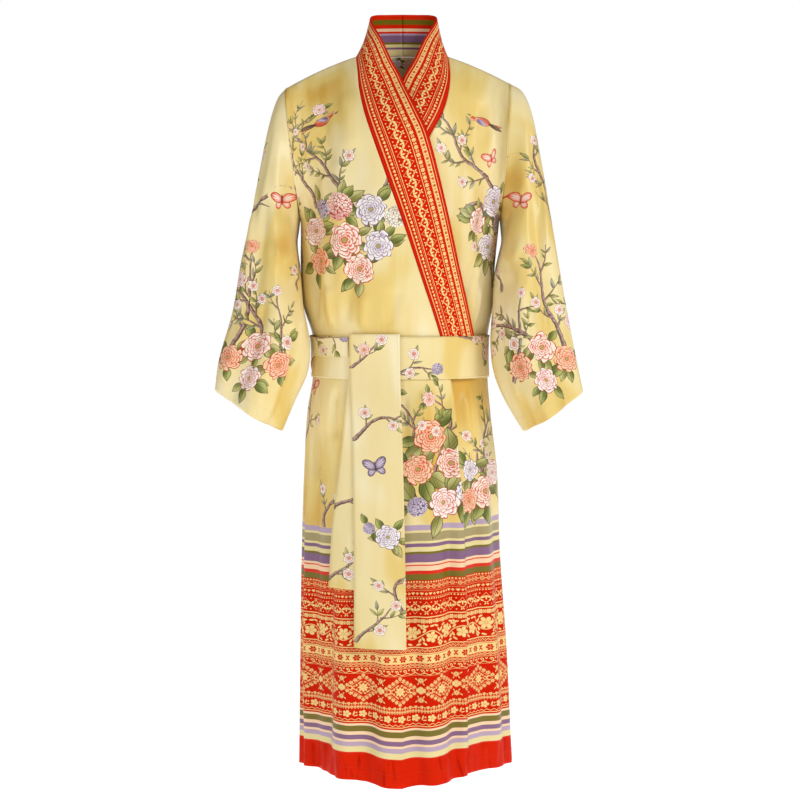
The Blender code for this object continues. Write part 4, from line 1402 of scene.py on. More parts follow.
def tuft(panel, at, size, count, random):
    """Narrow leaves that spread from one knot of a branch."""
    for i in range(count):
        spin = math.tau * (i + random.uniform(-0.3, 0.3)) / count
        tone = random.choice((GREY_LEAF, OLIVE_LEAF))
        panel.leaf(at, spin, size * random.uniform(0.7, 1.1), tone, random.uniform(0.05, 0.35))


def leaves_along(panel, line, size, spacing, random):
    run = lengths_along(line)
    side = 1
    place = spacing
    while place < run[-1]:
        i = int(np.searchsorted(run, place))
        way = line[min(i + 1, len(line) - 1)] - line[i - 1]
        heading = math.atan2(way[1], way[0])
        for turned in (side, -side)[: random.integers(1, 3)]:
            tone = random.choice(LEAF_TONES)
            heading_out = heading + turned * random.uniform(0.5, 1.0)
            leaf_size = size * random.uniform(0.7, 1.15)
            panel.leaf(line[i], heading_out, leaf_size, tone, random.uniform(0.1, 0.5))
        side = -side
        place += spacing * random.uniform(0.8, 1.3)
    way = line[-1] - line[-3]
    panel.leaf(line[-1], math.atan2(way[1], way[0]), size, random.choice(LEAF_TONES), 0.3)


def grow_spray(panel, at, heading, length, bend, flowers, random, thick=0.0042):
    """One spray. flowers is a list of families and radii in millimetres, the first at the tip."""
    line = grow_line(at, heading, length, bend, random)
    share = np.linspace(0, 1, len(line))
    thick = thick * min(1.0, 0.35 + length / 0.25)
    panel.twig(line, thick * (1 - 0.72 * share))
    twigs = max(2, round(length / 0.035))
    side = 1 if random.random() < 0.5 else -1
    tips = [line[-1]]
    for i in range(twigs):
        start = int(mix(0.18, 0.92, (i + random.uniform(0, 0.6)) / twigs) * (len(line) - 1))
        way = line[start + 1] - line[start]
        angle = math.atan2(way[1], way[0]) + side * random.uniform(0.55, 0.95)
        reach = length * random.uniform(0.16, 0.3)
        twig = grow_line(line[start], angle, reach, side * random.uniform(-0.9, 0.4), random)
        panel.twig(twig, thick * mix(0.45, 0.14, np.linspace(0, 1, len(twig))))
        leaves_along(panel, twig, 0.017, 0.011, random)
        tips.append(twig[-1])
        side = -side
    if length > LONG_SPRAY:
        tuft(panel, line[round(0.62 * len(line))], 0.024, 8, random)
    for i, (family, radius) in enumerate(flowers):
        centre = tips[i % len(tips)] + random.uniform(-0.003, 0.003, 2)
        if radius > LARGE_FLOWER:
            ring_of_leaves(panel, centre, radius / 1000, 5, 1.1 * radius / 1000, random)
        panel.bloom(centre, radius / 1000, family, random)


def ring_of_leaves(panel, centre, radius, count, size, random):
    """Leaves that stick out from under a flower."""
    for _ in range(count):
        spin = random.uniform(0, math.tau)
        root = centre + 0.72 * radius * pointing(spin)
        tone = random.choice((OLIVE_LEAF, DEEP_LEAF, DEEP_LEAF))
        panel.leaf(root, spin, size * random.uniform(0.8, 1.2), tone, random.uniform(0.55, 0.95))


def cluster(panel, at, leaf, flowers, random):
    """Large flowers close together, with leaves showing round them."""
    for family, radius, x, y in flowers:
        ring_of_leaves(panel, at + metres(x, y), radius / 1000, 6, leaf, random)
    for family, radius, x, y in flowers:
        panel.bloom(at + metres(x, y), radius / 1000, family, random)


def bird(panel, at, heading):
    """A small bird made of leaf shapes: body, wing, tail feathers, head and bill."""
    ahead = pointing(heading)
    for turned, size, tone, start, breadth in (
        (0.0, 0.038, CORAL_PETAL, -0.018, 0.55), (2.7, 0.021, LILAC_PETAL, 0.01, 0.6),
        (3.05, 0.04, BROWN_LEAF, -0.012, 0.1), (0.5, 0.015, CORAL_PETAL, 0.013, 0.95),
        (3.35, 0.026, CORAL_PETAL, -0.024, 0.15), (0.2, 0.009, BROWN_LEAF, 0.025, 0.3),
    ):
        panel.leaf(at + start * ahead, heading + turned, size, tone, breadth)


def butterfly(panel, at, heading, family):
    panel.stamp("wings", at, heading, BUTTERFLY_SIZE, family + 0.5, (-1.05, 1.05, -0.75, 0.95))


print("sprays can be grown")

# %% [markdown]
# Each panel has its own lists, in millimetres on its flat cloth: across from the centre and up from
# the hem or the cuff. Headings are in degrees, 90 is up. A spray has a place, a heading, a
# length, a bend and flowers. A cluster has a place, the size of its leaves, and flowers with
# their own radius and place. A bird has a place and a heading, a butterfly a colour too.

# %% Layout of the print
Print = namedtuple("Print", "sprays clusters birds butterflies", defaults=((), (), ()))
PAIR = ((BLOSSOM, 9), (BLOSSOM, 10))
THREE = PAIR + ((BLOSSOM, 9),)
CORAL_TIP = ((CORAL, 13),) + THREE
ROSE_TIP = ((ROSE, 14),) + THREE
PURPLE_TIP = ((PURPLE_BALL, 11),) + PAIR
OVER_PRINT = Print(sprays=(
    (-55, 925, 112, 270, -0.7, CORAL_TIP), (-160, 960, 74, 250, 0.6, ROSE_TIP),
    (-205, 870, 112, 120, -0.5, PAIR), (-30, 985, 60, 100, 0.4, PAIR),
    (-228, 560, 60, 150, 0.5, ROSE_TIP), (-140, 425, 104, 130, -0.5, PURPLE_TIP),
    (50, 500, 66, 170, 0.8, CORAL_TIP), (20, 470, 116, 200, -0.5, ROSE_TIP),
), clusters=(
    (-100, 905, 29, (
        (LILAC, 27, 50, 50), (RED_BALL, 26, -4, 56), (ROSE, 25, -62, 16), (PURPLE_BALL, 19, -40, 52),
        (CORAL, 31, 6, 0), (LILAC, 26, 62, -10), (FLAME, 24, -46, -34), (WHITE_BALL, 20, 90, 38),
        (CORAL, 26, 30, -48))),
    (58, 505, 42, (
        (FLAME, 32, -8, 70), (CORAL, 29, 30, 20), (FLAME, 27, -32, 12), (ROSE, 28, 12, -48),
        (LILAC, 22, 52, -30), (PURPLE_BALL, 18, -34, -52))),
), birds=((-128, 1118, 16),
), butterflies=((-200, 660, -20, CORAL),))
UNDER_PRINT = Print(sprays=(
    (100, 940, 64, 260, 0.7, ROSE_TIP), (185, 975, 112, 240, -0.8, CORAL_TIP),
    (205, 830, 100, 100, 0.5, PAIR), (150, 470, 78, 220, 0.6, CORAL_TIP),
    (228, 440, 116, 160, -0.4, PAIR),
), clusters=(
    (172, 925, 29, (
        (LILAC, 27, 10, 46), (ROSE, 24, -30, 12), (PURPLE_BALL, 18, 30, 10), (LILAC, 23, 0, -30),
        (CORAL, 20, 36, -26))),
    (160, 470, 36, (
        (CORAL, 30, 0, 0), (ROSE, 25, 40, 30), (LILAC, 21, -30, 40), (FLAME, 23, -36, -14))),
), birds=((140, 1120, 166),
), butterflies=((160, 1045, 25, CORAL),))
BACK_PRINT = Print(sprays=(
    (-20, 960, 118, 300, -0.8, ROSE_TIP), (40, 965, 58, 280, 0.8, CORAL_TIP),
    (-170, 860, 80, 240, -0.5, ROSE_TIP), (175, 850, 104, 240, 0.6, THREE),
    (-90, 470, 100, 240, -0.7, CORAL_TIP), (-60, 480, 60, 160, 0.6, PAIR),
    (110, 455, 84, 260, 0.6, ROSE_TIP), (180, 450, 108, 150, -0.4, PAIR),
), clusters=(
    (5, 935, 30, (
        (LILAC, 28, -56, 20), (RED_BALL, 27, 52, 38), (CORAL, 32, 0, 10), (PURPLE_BALL, 20, -20, 60),
        (ROSE, 27, 54, -20), (LILAC, 27, -34, -40), (FLAME, 25, 20, -46), (WHITE_BALL, 20, -84, -18))),
    (-165, 850, 26, ((ROSE, 24, 0, 0), (LILAC, 21, 20, 36))),
    (4, 1236, 16, ((CORAL, 14, 10, 0), (LILAC, 13, -17, 4), (ROSE, 12, 34, 4))),
    (-80, 490, 42, (
        (FLAME, 32, -12, 62), (CORAL, 29, 34, 22), (ROSE, 28, -30, 0), (LILAC, 24, 20, -40),
        (PURPLE_BALL, 19, -56, -36))),
    (125, 470, 34, ((CORAL, 27, 0, 0), (LILAC, 22, 38, 22), (FLAME, 21, -34, 20))),
), birds=((-120, 1130, 20), (120, 1150, 165),
), butterflies=((20, 640, 15, PURPLE_BALL), (-180, 650, -25, CORAL),))
# On a sleeve, across runs from the top fold: forward is positive. Up starts at the cuff.
SLEEVE_PRINT = Print(sprays=(
    (112, 110, 96, 220, 0.5, CORAL_TIP), (60, 120, 74, 170, -0.5, ((FLAME, 12),) + PAIR),
    (172, 80, 118, 150, 0.5, PAIR), (30, 330, 70, 150, 0.5, THREE),
    (170, 235, 104, 100, -0.6, ROSE_TIP), (-105, 110, 86, 220, -0.5, ROSE_TIP),
    (-165, 90, 70, 150, 0.5, PAIR), (-40, 320, 104, 150, 0.5, THREE),
), clusters=(
    (108, 92, 28, (
        (CORAL, 26, -6, 34), (FLAME, 24, 42, 8), (FLAME, 23, -46, 10), (ROSE, 22, 0, -20),
        (BLOSSOM, 13, 46, 48))),
    (-108, 90, 28, ((CORAL, 26, 0, 20), (ROSE, 23, 40, -6), (LILAC, 22, -40, 0))),
), butterflies=((86, 375, 20, CORAL),))
# On the sash, a place is how far along the strip and how far below the neck it lies.
SASH_PRINT = Print(sprays=(
    (60, 468, 40, 90, -0.8, PAIR), (215, 550, -40, 90, 0.8, PURPLE_TIP),
    (330, 468, 30, 90, 0.6, CORAL_TIP), (480, 550, -30, 90, 0.6, THREE),
    (620, 468, 38, 90, -0.8, ROSE_TIP), (760, 550, -36, 90, 0.5, PAIR),
    (880, 468, 34, 90, -0.4, PURPLE_TIP),
))
LONG_END_PRINT = Print(sprays=(
    (-38, 345, 40, 120, 0.9, THREE),
    (36, 60, 112, 110, 0.8, ((PURPLE_BALL, 12), (BLOSSOM, 9), (BLOSSOM, 8))),
    (-38, 10, 56, 90, -0.7, PAIR), (-38, 465, 30, 70, 0.5, ((BLOSSOM, 10), (CORAL, 11))),
), clusters=(
    (10, 185, 21, ((LILAC, 21, 4, 0), (PURPLE_BALL, 11, -26, 14))),
), butterflies=((-4, 300, 12, PURPLE_BALL),))
SHORT_END_PRINT = Print(sprays=(
    (-40, 130, 56, 120, 0.9, PURPLE_TIP), (-40, 10, 40, 90, 1.2, THREE),
))


def print_motifs(panel, motifs, seed):
    """Lays the small motifs and clusters first, and sprays where room is left."""
    random = np.random.default_rng(seed)
    for x, y, heading in motifs.birds:
        bird(panel, metres(x, y), math.radians(heading))
    for x, y, heading, family in motifs.butterflies:
        butterfly(panel, metres(x, y), math.radians(heading), family)
    for x, y, leaf, flowers in motifs.clusters:
        cluster(panel, metres(x, y), leaf / 1000, flowers, random)
    for x, y, heading, length, bend, flowers in motifs.sprays:
        grow_spray(panel, metres(x, y), math.radians(heading), length / 1000, bend, flowers, random)


def printed(motifs, seed, bands=()):
    """What dresses a sheet in its part of the print."""
    def dress(sheet, places, quads):
        panel = PrintedPanel(places, quads)
        print_motifs(panel, motifs, seed)
        panel.dress(sheet, bands)
        print(sheet.name, "has", sum(map(len, motifs)), "motifs,", panel.dropped, "stamps found no room")

    return dress


def banded(sheet, places, quads):
    """Dresses a collar: a row of ornament for each band, and stripes inside."""
    across = places[quads].mean(axis=1)[:, 0]
    kinds = np.zeros(len(quads), np.int32)
    for i, (low, high, material) in enumerate(COLLAR):
        kinds[(across >= low) & (across < high)] = i
        sheet.data.materials.append(material)
    sheet.data.materials.append(LINING)
    sheet.data.polygons.foreach_set("material_index", kinds)


print("the back has", len(BACK_PRINT.sprays), "sprays and", len(BACK_PRINT.clusters), "clusters")

# %% [markdown]
# The back is cut in one piece from the neck to the hem. Its top edge follows the back of the
# neck, where the collar is sewn on, and then the shoulder seams. A column of the grid falls on
# each side-neck point, so that the corner there stays crisp.

# %% The back
NECK_STEPS, SHOULDER_STEPS = 22, 26
LIFT_RIGHT, LIFT_LEFT = -0.0025, 0.0105
LIFT_FULL, LIFT_FADES, LIFT_END = 0.3275, 0.46, 0.64


def body_rows():
    """Rows from the shoulder to the hem, about a grid step apart, with one at each band's edge."""
    limits = sorted({0.0, SOLID_TOP, BORDER_END, CLOTH_LENGTH} | {row.top for row in BORDER_ROWS})
    rows = row_at(filled(limits, GRID_STEP))[::-1]
    return np.concatenate(([0.0], rows[rows > 0.06]))


def lifted_rows(u, row):
    """On the wearer's left the print sits a little higher between the border and the sash."""
    height = flat_up(row)
    share = between(height, BORDER_END, LIFT_FULL) * between(height, LIFT_END, LIFT_FADES)
    return row_at(height + share * mix(LIFT_RIGHT, LIFT_LEFT, smooth_step((u + 0.85) / 1.2)))


def back_columns():
    places = []
    for side in (RIGHT, LEFT):
        neck = NECK_HALF / float(half_width(TIP_Z[side], side))
        start = math.asin(neck)
        half = list(neck * np.sin(math.pi / 2 * np.arange(NECK_STEPS + 1) / NECK_STEPS))
        half += list(np.sin(mix(start, math.pi / 2, np.arange(1, SHOULDER_STEPS + 1) / SHOULDER_STEPS)))
        places.append(side * np.array(half))
    return np.concatenate((places[0][::-1], places[1][1:]))


ROWS = body_rows()
back_u = back_columns()
u_grid, row_grid = np.meshgrid(back_u, ROWS)
back_grid = body_point(u_grid, lifted_rows(u_grid, row_grid), BACK, creased=True)
neck_seam = body_point(back_u, 0.0, BACK)
back_flat = joined(flat_across(u_grid, BACK), flat_up(row_grid))
back_grid[:, 0, 0] += HALF_GAP
back_grid[:, -1, 0] -= HALF_GAP
back_sheet = cloth_sheet("back_panel", back_grid, back_flat, printed(BACK_PRINT, 31, BORDER), ("back",),
                         origin=(2.0, 0.0))
declare_sheet(back_flat)

# %% [markdown]
# Each front runs from its side seam to a slanting edge, where its collar band is sewn on, and
# below the sash straight down to the hem. The wearer's right front lies over the left one, and
# the left one sinks by a few millimetres where it is covered.

# %% The fronts
FRONT_EDGES = read_table("z over under", metres(
    (0, -78.5, 78.5), (-25, -75.5, 81), (-60, -72, 80), (-100, -63.5, 70), (-145, -49, 46),
    (-190, -33, 26), (-272, -3.3, -4), (-371, 30, -34), (-474, 63.5, -66), (-550, 82.5, -84),
    (-710, 95.5, -96), (-825, 104, -104), (-1135, 112, -112), (-1230, 114, -114),
))
CHEST_FREE_EDGE = read_table("x z", metres(
    (3.5, -52), (25, -98), (44.5, -143.7), (71.1, -247.9), (96.1, -363.2), (118, -460), (126.5, -498),
))
OVER_STEPS, UNDER_STEPS = 84, 76


def front_edge_u(rows, column):
    """Where each row of a front meets the line of its edge."""
    low, high = np.full(len(rows), -0.999), np.full(len(rows), 0.999)
    for _ in range(36):
        u = (low + high) / 2
        inside = body_x(u, rows) < along(FRONT_EDGES, "z", column, body_z(u, rows))
        low, high = np.where(inside, u, low), np.where(inside, high, u)
    return (low + high) / 2


def over_reach(z):
    """How far the over front and its collar reach across, at a height."""
    reach = along(FRONT_EDGES, "z", "over", z)
    collar = along(CHEST_FREE_EDGE, "z", "x", z)
    return np.where(z > CHEST_FREE_EDGE[-1].z, np.maximum(reach, collar), reach) + COVER_MARGIN


def under_inset(u, row):
    """How far the under front lies inside the over front: none at its own side seam."""
    z = body_z(u, row)
    reach = np.minimum(over_reach(z) / half_width(z, LEFT), 0.97)
    to_side = (math.pi / 2 - np.arcsin(np.clip(u, -1, 1))) / (math.pi / 2 - np.arcsin(reach))
    return LAYER * smooth_step(to_side) * smooth_step((-0.03 - z) / 0.08)


def front_grid(side, column, steps):
    edge = np.arcsin(front_edge_u(ROWS, column))
    share = np.arange(steps + 1) / steps
    u = np.sin(mix(side * math.pi / 2, edge[:, None], share[None, :]))
    row = np.broadcast_to(ROWS[:, None], u.shape)
    lain = lifted_rows(u, row)
    inset = under_inset(u, lain) if side == LEFT else 0.0
    grid = body_point(u, lain, FRONT, -inset, creased=True)
    grid[:, 0, 0] -= side * HALF_GAP
    grid[:, 0, 1] = np.where(ROWS > ARM_ROWS, FRONT * HALF_GAP, grid[:, 0, 1])
    flat = joined(flat_across(u, FRONT), flat_up(row))
    return grid, flat


over_grid, over_flat = front_grid(RIGHT, "over", OVER_STEPS)
under_grid, under_flat = front_grid(LEFT, "under", UNDER_STEPS)
over_sheet = cloth_sheet("front_right_panel", over_grid, over_flat, printed(OVER_PRINT, 11, BORDER),
                         ("front_right",))
under_sheet = cloth_sheet("front_left_panel", under_grid, under_flat, printed(UNDER_PRINT, 21, BORDER),
                          ("front_left",), origin=(1.0, 0.0))
declare_sheet(over_flat)
declare_sheet(under_flat)

# %% [markdown]
# The collar is a doubled band of red printed cloth. It stands at the back of the neck, turns
# over the side-neck points and lies down on the chest, where the two halves cross. Its free
# edge is a smooth curve through a few points that were read off the real shape.

# %% The collar
NECK_FREE_EDGE = read_table("x y z", metres(
    (0, 74, 83), (-25, 71, 82.2), (-45.5, 58, 79.5), (-55, 40, 72), (-49, 16, 56), (-33.5, -13, 27),
    (-17.5, -36, -10), (-4.5, -50, -34),
))
NECK_STANDS_ABOVE = -0.03
CHEST_LIES_BELOW = -0.085
NECK_BULGE = 0.004
NECK_SPREAD = {RIGHT: 1.0, LEFT: 1.1}
COLLAR_WIDTH = COLLAR_ROWS[-1].top
COLLAR_COLUMNS = filled([0.0] + [row.top for row in COLLAR_ROWS], GRID_STEP) / COLLAR_WIDTH
COLLAR_PROUD = 0.001
COLLAR_THICK = 0.0022


def even_places(length):
    return np.linspace(0, length, round(length / GRID_STEP) + 1)


def free_edge_curve(side):
    knots = []
    for knot in NECK_FREE_EDGE:
        inset = LAYER * float(smooth_step((0.03 - knot.z) / 0.075)) if side == LEFT else 0.0
        knots.append((-side * knot.x * NECK_SPREAD[side], knot.y + inset, knot.z))
    for knot in CHEST_FREE_EDGE:
        knots.append(chest_point(-side * knot.x, knot.z, -LAYER if side == LEFT else 0.0))
    return smooth_curve(np.array(knots, float), 24)


def collar_grid(side, neck, front_edge):
    seam = np.vstack((neck, front_edge[1:]))
    run = lengths_along(seam)
    wanted = even_places(run[-1])
    seam = resample(seam, run, wanted)
    free = free_edge_curve(side)
    free_share = lengths_along(free) / lengths_along(free)[-1]
    share = wanted / wanted[-1]
    far = resample(free, free_share, share)
    near = seam + SEAM_GAP * unit(far - seam)
    column = COLLAR_COLUMNS
    grid = mix(near[:, None], far[:, None], column[None, :, None])
    lying = smooth_step((NECK_STANDS_ABOVE - grid[..., 2]) / (NECK_STANDS_ABOVE - CHEST_LIES_BELOW))
    outward = unit(joined(grid[..., 0], grid[..., 1], 0.02))
    bulge = NECK_BULGE * np.sin(math.pi * column)[None, :] * (1 - lying)
    grid = grid + bulge[..., None] * outward
    plain = chest_point(seam[:, 0], seam[:, 2])
    seam_inset = np.linalg.norm(plain - seam, axis=1)
    inset = mix(seam_inset[:, None], LAYER, column[None, :]) if side == LEFT else np.zeros(grid.shape[:2])
    proud = COLLAR_PROUD * smooth_step(column * 8)[None, :]
    lain = chest_point(grid[..., 0], grid[..., 2], proud - inset)
    lying = lying * (column > 0)
    grid = mix(grid, lain, lying[..., None])
    flat = joined(column[None, :] * COLLAR_WIDTH, wanted[:, None])
    return grid, flat


collar_rows = int(np.searchsorted(ROWS, COLLAR_END_ROW)) + 1
centre = SHOULDER_STEPS + NECK_STEPS
neck_right = neck_seam[SHOULDER_STEPS : centre + 1][::-1]
neck_left = neck_seam[centre : centre + NECK_STEPS + 1]
collars = {}
for side, name, neck, edge in (
    (RIGHT, "collar_right", neck_right, over_grid[:collar_rows, -1]),
    (LEFT, "collar_left", neck_left, under_grid[:collar_rows, -1]),
):
    grid, flat = collar_grid(side, neck, edge)
    grid[0, :, 0] = side * HALF_GAP
    band = cloth_sheet(name + "_band", grid, flat, banded, (name,), thick=COLLAR_THICK,
                       lined=True)
    declare_sheet(flat)
    collars[side] = grid

# %% [markdown]
# A sleeve is a straight tube that hangs a little forward of the body. It is measured in rings,
# each with a top fold, an underarm fold and a depth. Its seam runs along the underarm, so the
# grid starts and ends there.

# %% The sleeves
# Rings from the armhole to the cuff: x and z of the top fold and of the underarm fold on the
# wearer's right, the same on the left, half the depth and how far ahead the ring hangs.
SLEEVE_TABLE = metres(
    (212, -72, 176.5, -296, 206, -61, 169, -295, 64, -4),
    (225, -115, 178.5, -322, 221.5, -102, 169, -322, 67, -15),
    (239.5, -190, 171.5, -372, 235, -178, 156.5, -372, 70, -32),
    (252.5, -268, 166.5, -425, 249, -266, 153, -425, 73, -48),
    (269.5, -348, 155.5, -485, 262.5, -353, 149, -485, 75, -60),
    (283, -430, 159, -535, 277.5, -441, 154.5, -535, 76, -68),
    (304.5, -507, 180, -583, 290.5, -510, 173, -582, 76, -72),
    (312.2, -561, 200.6, -632, 301.3, -564, 203.1, -633, 73, -74),
)
SLEEVE_FOLDS = [Fold(*row) for row in (
    (32, 0.1, 0.55, 14, 7), (62, 0.05, 0.5, 13, -9), (100, 0.15, 0.75, 15, 9), (138, 0.05, 0.6, 13, -7),
    (222, 0.1, 0.6, 15, 8), (262, 0.1, 0.6, 15, -9), (300, 0.1, 0.7, 15, 8),
)]
# Creases of a sleeve: degrees round the tube and share along it at both ends, width and depth.
SLEEVE_CREASES = (
    (150, 0.05, 60, 0.3, 12, -3.4), (165, 0.16, 80, 0.42, 11, 3.4), (170, 0.3, 96, 0.5, 11, -3.2),
    (172, 0.44, 110, 0.6, 10, 2.8), (40, 0.1, 30, 0.45, 12, -3.4), (20, 0.3, 48, 0.62, 10, 2.6),
    (80, 0.55, 74, 0.98, 10, -3.4), (120, 0.62, 128, 0.99, 10, 3), (50, 0.7, 46, 0.99, 9, 2.4),
    (210, 0.05, 300, 0.3, 12, -3.4), (196, 0.2, 270, 0.44, 11, 3.4), (192, 0.36, 250, 0.56, 11, -3),
    (320, 0.15, 330, 0.52, 12, -3.2), (280, 0.58, 286, 0.98, 10, 3.2), (240, 0.62, 236, 0.99, 10, -3),
)
# The left sleeve's creases are turned and shortened a little, so that the sleeves differ.
SLEEVE_CREASE_SHIFT = {RIGHT: (0, 1.0), LEFT: (9, 0.94)}
SLEEVE_AROUND = 112
SLEEVE_RADIUS = 0.082
SLEEVE_LENGTH = 0.44


def sleeve_rings(side):
    tip, under = TIP_Z[side], UNDERARM_Z
    knots = [(side * float(half_width(tip, side)), tip, side * float(half_width(under, side)), under,
              ARM_HALF_DEPTH, 0.0)]
    for *places, depth, ahead in SLEEVE_TABLE:
        top_x, top_z, low_x, low_z = places[:4] if side == RIGHT else places[4:]
        knots.append((side * top_x, top_z, side * low_x, low_z, depth, ahead))
    curve = smooth_curve(np.array(knots), 16)
    middles = joined((curve[:, 0] + curve[:, 2]) / 2, (curve[:, 1] + curve[:, 3]) / 2)
    run = lengths_along(middles)
    wanted = even_places(run[-1])
    return resample(curve, run, wanted), wanted


def sleeve_relief(angle, share, shift, stretch):
    """Large folds and creases of a sleeve."""
    creases = crease_height(SLEEVE_CREASES, angle, share * SLEEVE_LENGTH, SLEEVE_RADIUS, shift,
                            stretch * SLEEVE_LENGTH)
    return fold_height(SLEEVE_FOLDS, angle, share) + smooth_step(share / 0.05) * creases


def sleeve_grid(side):
    rings, run = sleeve_rings(side)
    phi = np.linspace(-math.pi, math.pi, SLEEVE_AROUND + 1)
    top = joined(rings[:, 0], 0.0, rings[:, 1])
    under = joined(rings[:, 2], 0.0, rings[:, 3])
    half = np.linalg.norm(top - under, axis=1)[:, None] / 2
    depth = rings[:, 4][:, None]
    up = unit(top - under)[:, None]
    ahead = joined(0.0, rings[:, 5], 0.0)
    centre_line = ((top + under) / 2 + ahead)[:, None]
    front = np.array((0.0, -1.0, 0.0))
    spoke = (half * np.cos(phi))[..., None] * up + (depth * np.sin(phi))[..., None] * front
    wall = unit((np.cos(phi) / half)[..., None] * up + (np.sin(phi) / depth)[..., None] * front)
    share = (run / run[-1])[:, None]
    angle = np.degrees(phi)[None, :] % 360
    relief = sleeve_relief(angle, share, *SLEEVE_CREASE_SHIFT[side])
    grid = centre_line + spoke + wall * relief[..., None]
    shift = side * (half_width(grid[0, :, 2], side) + HALF_GAP) - grid[0, :, 0]
    fade = 1 - smooth_step(np.arange(len(run)) / 3)
    grid[..., 0] += fade[:, None] * shift[None, :]
    return grid


def sleeve_flat(grid):
    """Unrolls the tube: up runs along the arm from the cuff, across is measured square to it."""
    middles = grid[:, :-1].mean(axis=1)
    arm = unit(middles[-1] - middles[0])
    steps = np.diff(grid, axis=1)
    square = np.sqrt(np.maximum((steps**2).sum(axis=-1) - (steps @ arm) ** 2, 0))
    around = np.concatenate((np.zeros((len(grid), 1)), np.cumsum(square, axis=1)), axis=1)
    around = around - around[:, SLEEVE_AROUND // 2, None]
    down = grid @ arm
    return joined(around, down.max() - down)


sleeves = []
for side, name in ((RIGHT, "sleeve_right"), (LEFT, "sleeve_left")):
    grid = sleeve_grid(side)
    flat = sleeve_flat(grid)

    def away_from_arm(middle, grid=grid):
        rings = (grid[:-1].mean(axis=1) + grid[1:].mean(axis=1)) / 2
        return middle - np.repeat(rings, grid.shape[1] - 1, axis=0)

    tube = cloth_sheet(name + "_tube", grid, flat, printed(SLEEVE_PRINT, 50 + side), (name,),
                       origin=(4.0 + side, 2.0), outward=away_from_arm)
    declare_sheet(flat)
    sleeves.append(grid)

# %% [markdown]
# The sash goes once round the waist and laps over its own start at the wearer's right, where
# it narrows into the strip that runs to the tie. Under it the body is calm, because the sash
# presses the folds flat. Angles are in degrees: 0 is the front, 90 the wearer's left.

# %% The sash
SASH_TOP = -0.4735
SASH_BOTTOM = -0.5445
SASH_AIR = 0.0013
SASH_LAYER_AIR = 0.0008
SASH_START = -104.0
SASH_END = 325.0
SASH_LIFTS = (205.0, 248.0)
SASH_NARROWS = (250.0, 288.0)
SASH_NARROW_BOTTOM = -0.508
SASH_NARROW_DROP = 0.0015
SASH_COLUMNS = 240
SASH_ROWS = 18


def round_body(angle, z, out):
    """A point round the waist, clear of the folds. 0 is the front, 90 the wearer's left."""
    turned = (angle + 180) % 360 - 180
    row = ARM_ROWS + np.interp(-z, -LEVELS, np.arange(len(LEVELS)))
    u = np.sin(np.radians(turned))
    front = body_point(u, row, FRONT, out, folded=False)
    back = body_point(u, row, BACK, out, folded=False)
    return np.where((np.abs(turned) <= 90)[..., None], front, back)


angle = np.linspace(SASH_START, SASH_END, SASH_COLUMNS)[None, :]
lift = (CLOTH + SASH_LAYER_AIR) * between(angle, *SASH_LIFTS)
narrow = between(angle, *SASH_NARROWS)
down = (np.arange(SASH_ROWS + 1) / SASH_ROWS)[:, None]
sash_z = mix(SASH_TOP - SASH_NARROW_DROP * narrow, mix(SASH_BOTTOM, SASH_NARROW_BOTTOM, narrow), down)
sash_grid = round_body(np.broadcast_to(angle, sash_z.shape), sash_z, SASH_AIR + lift + CLOTH)
sash_run = lengths_along(sash_grid[SASH_ROWS // 2])
sash_flat = joined(sash_run[None, :], -sash_z)
sash_sheet = cloth_sheet("sash_round_waist", sash_grid, sash_flat, printed(SASH_PRINT, 61), ("belt_wrap",),
                         origin=(0.7, 3.0))
declare_sheet(sash_flat)

# %% [markdown]
# The two ends hang from the crossing. The long one folds over the top edge of the sash and
# hangs in front of the short one.

# %% The hanging ends
LONG_TAIL = read_table("z left right air", metres(
    (-476, -85, -3.5, 6.5), (-485, -85, -3.3, 6.5), (-515, -84.5, -3, 6.5), (-550, -84, -2.5, 6.2),
    (-595, -82, -1, 4.4), (-650, -80, 0.8, 4.2), (-730, -78.3, 2.8, 4.2), (-815, -76.5, 4.5, 4.2),
    (-900, -75.2, 5.8, 4), (-987, -74.5, 6.6, 3.4),
))
SHORT_TAIL = read_table("z left right air", metres(
    (-498, -80.5, -12, 3.9), (-520, -81.5, -12, 3.9), (-550, -87.5, -17, 3.6), (-595, -93.5, -23, 1.8),
    (-650, -98.5, -29, 1.5), (-720, -106.5, -35, 1.4), (-800, -114, -41, 1.4), (-892, -117.5, -44, 1.4),
))
TAIL_ANGLES = np.arange(-50, 4, 2)
# The bend over the sash's edge: distance from the body and rise, and the point it bends round.
LIP_ROOT = (0.0015, 0.003)
TAIL_LIP = ((0.002, 0.0012), (0.004, 0.003), (0.0061, 0.0014))
TAIL_STEPS = 20


def ridge_height(z):
    """How far the folds behind the hanging ends stand out at each height."""
    return fold_height(FOLDS, TAIL_ANGLES[None, :], np.asarray(z)[:, None]).max(axis=1)


